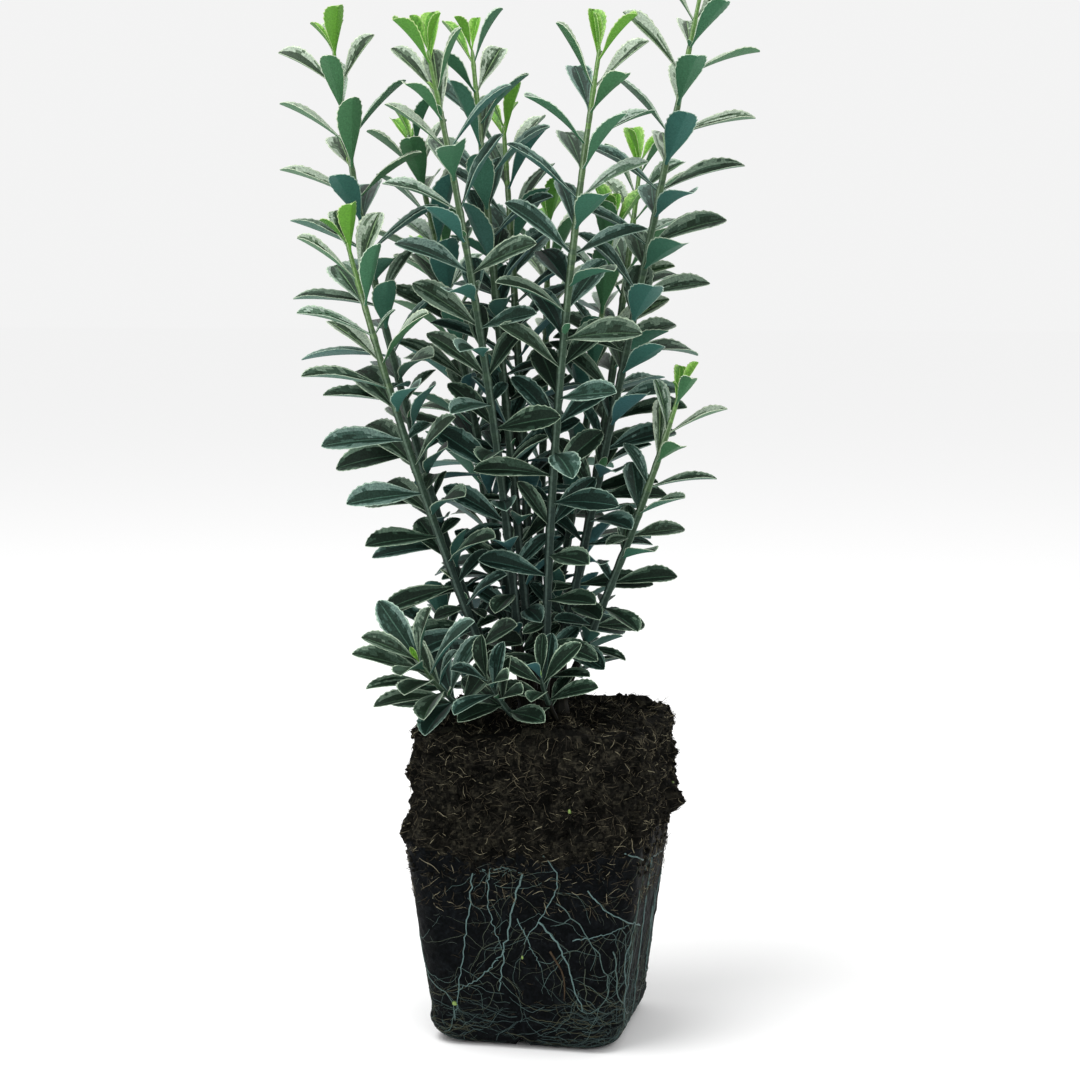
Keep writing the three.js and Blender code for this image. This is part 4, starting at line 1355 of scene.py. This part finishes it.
# The roots that show most on the front and right of the ball: radius, and the places (q, z) that each passes
SHOWN_ROOTS = [
    (0.38, [(-0.2, 90), (-0.25, 63), (-0.32, 32), (-0.37, 13)]),
    (0.32, [(-0.12, 92), (-0.15, 74), (-0.08, 51)]),
    (0.5, [(0.03, 91), (-0.03, 70), (-0.07, 51), (-0.11, 30)]),
    (0.28, [(-0.17, 91), (-0.06, 94), (0.03, 91)]),
    (0.34, [(0.12, 100), (0.2, 93), (0.18, 81), (0.1, 67), (0.03, 55)]),
    (0.5, [(0.1, 67), (0.14, 63), (0.22, 53), (0.27, 40), (0.34, 22)]),
    (0.36, [(0.33, 84), (0.37, 78), (0.5, 68), (0.85, 57)]),
    (0.42, [(0.93, 90), (0.91, 60), (0.93, 30), (0.95, 8)]),
    (0.34, [(0.48, 103), (0.68, 94), (0.98, 89), (1.3, 84)]),
    (0.28, [(0.27, 58), (0.4, 61), (0.56, 65)]),
    (0.3, [(0.0, 68), (0.08, 50), (0.11, 44)]),
    (0.34, [(-0.07, 51), (-0.2, 36), (-0.34, 28)]),
]
BROWN_ROOT = (0.55, [(0.16, 52), (0.24, 40), (0.24, 27)])
ROOT_COLOURS = [(84, 108, 106), (68, 88, 84), (60, 68, 56)]
BROWN_ROOT_COLOUR = (58, 47, 33)
ROOT_LOOK = (0.5, 1.2, 0.12, 0.2, 0.2)
BROWN_ROOT_LOOK = (0.7, 1.2, 0.2, 0.25, 0.15)
LOWEST_ROOT = 2.2
ROOT_STEP = 2.6
SIDE_ROOT_STEP = 2.2


def smooth_path(places, count):
    """Evenly spread points on a soft curve through a few places."""
    places = np.array(places, float)
    scaled = places * (QUARTER, 1)
    reached = np.concatenate([[0], np.cumsum(np.linalg.norm(np.diff(scaled, axis=0), axis=1))])
    at = np.linspace(0, reached[-1], count)
    window = reached[-1] / (2.2 * (len(places) - 1)) * np.linspace(-1, 1, 7)[:, None]
    offset = np.clip(at + window, 0, reached[-1])
    path = np.stack([np.interp(offset, reached, places[:, k]).mean(axis=0) for k in (0, 1)], axis=1)
    path[0], path[-1] = places[0], places[-1]
    return path


def wander(rng, q, z, heading, length, step, pull):
    """A root's path over the ball: it turns at random, and towards level as it nears the foot."""
    path = [(q, z)]
    for _ in range(int(length / step)):
        level = 1 - rise(z, 10, 40)
        sideways = 0 if math.cos(heading) > 0 else math.pi
        goal = mix(-math.pi / 2 if heading < 0 or math.sin(heading) < 0 else heading, sideways, level)
        heading += rng.normal(0, 0.28) + pull * math.sin(goal - heading)
        q += step * math.cos(heading) / QUARTER
        from_middle = (q - round(q)) * QUARTER
        lowest = LOWEST_ROOT + NOTCH_HEIGHT * math.exp(-((from_middle / NOTCH_HALF) ** 2))
        z = float(np.clip(z + step * math.sin(heading), lowest, BALL_WIDEST_HEIGHT))
        path.append((q, z))
    return path


def add_root(pile, path, radius, taper, slot, rng, sides=6):
    """A tapering root along a path over the ball, a little sunk into it."""
    path = np.asarray(path)
    thick = radius * np.linspace(1, taper, len(path))
    thick = thick * rng.uniform(0.88, 1.12, len(path))
    line, normals = on_ball(path[:, 0], path[:, 1], thick * 0.55)
    tubes(pile, line[None], thick[None], normals[:1], sides, slot)


def roots():
    """The roots that lie against the moulded sides, with their side roots."""
    rng = np.random.default_rng(59)
    pile = Pile("side_roots")
    kinds = finishes(pile, "root", ROOT_COLOURS, ROOT_LOOK)
    brown = pile.slot_of(surface("root_brown", BROWN_ROOT_COLOUR, BROWN_ROOT_LOOK))
    shown = [(radius, smooth_path(places, 26)) for radius, places in SHOWN_ROOTS]
    for radius, path in shown:
        path[1:-1] += rng.normal(0, 0.4, (len(path) - 2, 2)) * (1 / QUARTER, 1)
        add_root(pile, path, radius, 0.55, kinds[0], rng)
    add_root(pile, smooth_path(BROWN_ROOT[1], 16), BROWN_ROOT[0], 0.5, brown, rng)
    starts = [(q + rng.normal(0, 0.02), z) for _, path in shown for q, z in path[4::6]]
    for quarter in range(4):
        for _ in range(3 if quarter == 0 else 9):
            radius = rng.uniform(0.2, 0.42)
            place = (quarter + rng.uniform(-0.5, 0.5), rng.uniform(40, 98))
            path = wander(rng, *place, rng.normal(-math.pi / 2, 0.5), rng.uniform(40, 90), ROOT_STEP, 0.2)
            add_root(pile, path, radius, 0.5, kinds[rng.integers(0, 3)], rng)
            starts += [path[i] for i in range(4, len(path) - 2, 7)]
    for q, z in starts:
        for side in rng.choice([-1, 1], 2):
            heading = -math.pi / 2 + side * rng.uniform(0.5, 1.3)
            path = wander(rng, q, z, heading, rng.uniform(10, 34), SIDE_ROOT_STEP, 0.05)
            add_root(pile, path, rng.uniform(0.11, 0.2), 0.5, kinds[rng.integers(1, 3)], rng, sides=4)
    return pile.build()


MAT_ROOTS = 520
MAT_STEP = 2.4
MAT_COLOURS = [(58, 74, 73), (46, 60, 57), (62, 64, 50), (34, 44, 43)]
MAT_LOOK = (0.6, 1.0, 0.1, 0.2, 0.12)


def root_mat():
    """The fine roots that circle the foot of the ball, thickest at its corners."""
    rng = np.random.default_rng(61)
    pile = Pile("root_mat")
    kinds = finishes(pile, "fine_root", MAT_COLOURS, MAT_LOOK)
    for _ in range(MAT_ROOTS):
        corner = rng.integers(0, 4) + 0.5 + rng.normal(0, 0.2)
        q = corner if rng.random() < 0.7 else rng.uniform(0, 4)
        z = 2.5 + abs(rng.normal(0, 13))
        heading = rng.choice([0, math.pi]) + rng.normal(0, 0.45)
        path = wander(rng, q, z, heading, rng.uniform(12, 40), MAT_STEP, 0.12)
        add_root(pile, path, rng.uniform(0.1, 0.22), 0.6, rng.choice(kinds), rng, sides=4)
    return pile.build()


GRANULE_COLOUR = (112, 136, 66)
GRANULE_LOOK = (0.45, 1.0, 0.05, 0.25, 0.5)
# Their places (q, z)
GRANULES = [(0.22, 123), (0.02, 48), (-0.36, 22), (1.3, 120), (2.2, 131), (2.7, 70), (3.3, 117)]


def granules():
    """A few grains of slow feed, pale yellow green, on the mulch and against the side."""
    rng = np.random.default_rng(67)
    pile = Pile("feed_granules")
    kind = pile.slot_of(surface("granule", GRANULE_COLOUR, GRANULE_LOOK))
    places, _ = on_ball(*zip(*GRANULES), 0.3)
    lumps(pile, places, rng.uniform(0.9, 1.4, len(GRANULES)), kind, rng)
    return pile.build()


# Stage

FLOOR_HALF = 20.0
CAMERA_TARGET = Vector((-0.0005, 0, 0.247))
CAMERA_AWAY = 1.2
CAMERA_AZIMUTH = 12
CAMERA_ELEVATION = 6
CAMERA_LENS = 80
CAMERA_SENSOR = 36
SKY = 0.9
# Name, place, size and watts of each lamp
LAMPS = [("above", (-0.5, -0.5, 1.9), 1.2, 24), ("front", (0.9, -1.7, 1.0), 1.0, 5)]


def floor():
    """A white floor with no shine."""
    mesh = bpy.data.meshes.new("floor")
    h = FLOOR_HALF
    mesh.from_pydata([(-h, -h, 0), (h, -h, 0), (h, h, 0), (-h, h, 0)], [], [(0, 1, 2, 3)])
    material = bpy.data.materials.new("floor")
    material.use_nodes = True
    shader = material.node_tree.nodes["Principled BSDF"]
    shader.inputs["Base Color"].default_value = (0.99, 0.99, 0.99, 1)
    shader.inputs["Roughness"].default_value = 1
    shader.inputs["Specular IOR Level"].default_value = 0
    mesh.materials.append(material)
    placed("floor", mesh)


def lamp(name, place, size, watts):
    """A round lamp that faces the plant."""
    data = bpy.data.lights.new(name, "AREA")
    data.shape = "DISK"
    data.size = size
    data.energy = watts
    lit = placed(name, data)
    lit.location = place
    lit.rotation_euler = (CAMERA_TARGET - Vector(place)).to_track_quat("-Z", "Y").to_euler()


def studio():
    """White surroundings, with the light from all round and from two lamps."""
    world = bpy.data.worlds.new("studio")
    world.use_nodes = True
    background = world.node_tree.nodes["Background"]
    background.inputs["Color"].default_value = (1, 1, 1, 1)
    background.inputs["Strength"].default_value = SKY
    bpy.context.scene.world = world
    for place in LAMPS:
        lamp(*place)
    bpy.context.scene.view_settings.view_transform = "Standard"


def camera():
    """A camera as far round, above and away from the plant as the one that saw it."""
    azimuth, elevation = math.radians(CAMERA_AZIMUTH), math.radians(CAMERA_ELEVATION)
    back = Vector((
        math.sin(azimuth) * math.cos(elevation),
        -math.cos(azimuth) * math.cos(elevation),
        math.sin(elevation),
    ))
    data = bpy.data.cameras.new("camera")
    data.lens = CAMERA_LENS
    data.sensor_width = CAMERA_SENSOR
    made = placed("camera", data)
    made.location = CAMERA_TARGET + back * CAMERA_AWAY
    made.rotation_euler = (-back).to_track_quat("-Z", "Y").to_euler()
    bpy.context.scene.camera = made


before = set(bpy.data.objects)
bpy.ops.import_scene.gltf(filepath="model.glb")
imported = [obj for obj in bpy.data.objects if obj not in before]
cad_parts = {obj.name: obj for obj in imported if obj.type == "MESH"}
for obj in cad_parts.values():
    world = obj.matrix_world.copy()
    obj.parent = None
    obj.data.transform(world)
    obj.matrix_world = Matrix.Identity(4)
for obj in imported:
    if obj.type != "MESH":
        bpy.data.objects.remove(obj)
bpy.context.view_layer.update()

leaf_finish = leaf_materials()
stem_finish = stem_materials()
soil_finish = soil_materials()

crown = Crown()
crown.fill()
for number, shoot in enumerate(crown.shoots):
    dress(shoot, leaf_finish, np.random.default_rng(1000 + number))
    add_stem(shoot, stem_finish, np.random.default_rng(2000 + number))
main_stems(stem_finish)

soil(soil_finish)
fibres()
crumbs(soil_finish)
roots()
root_mat()
granules()

floor()
studio()
camera()
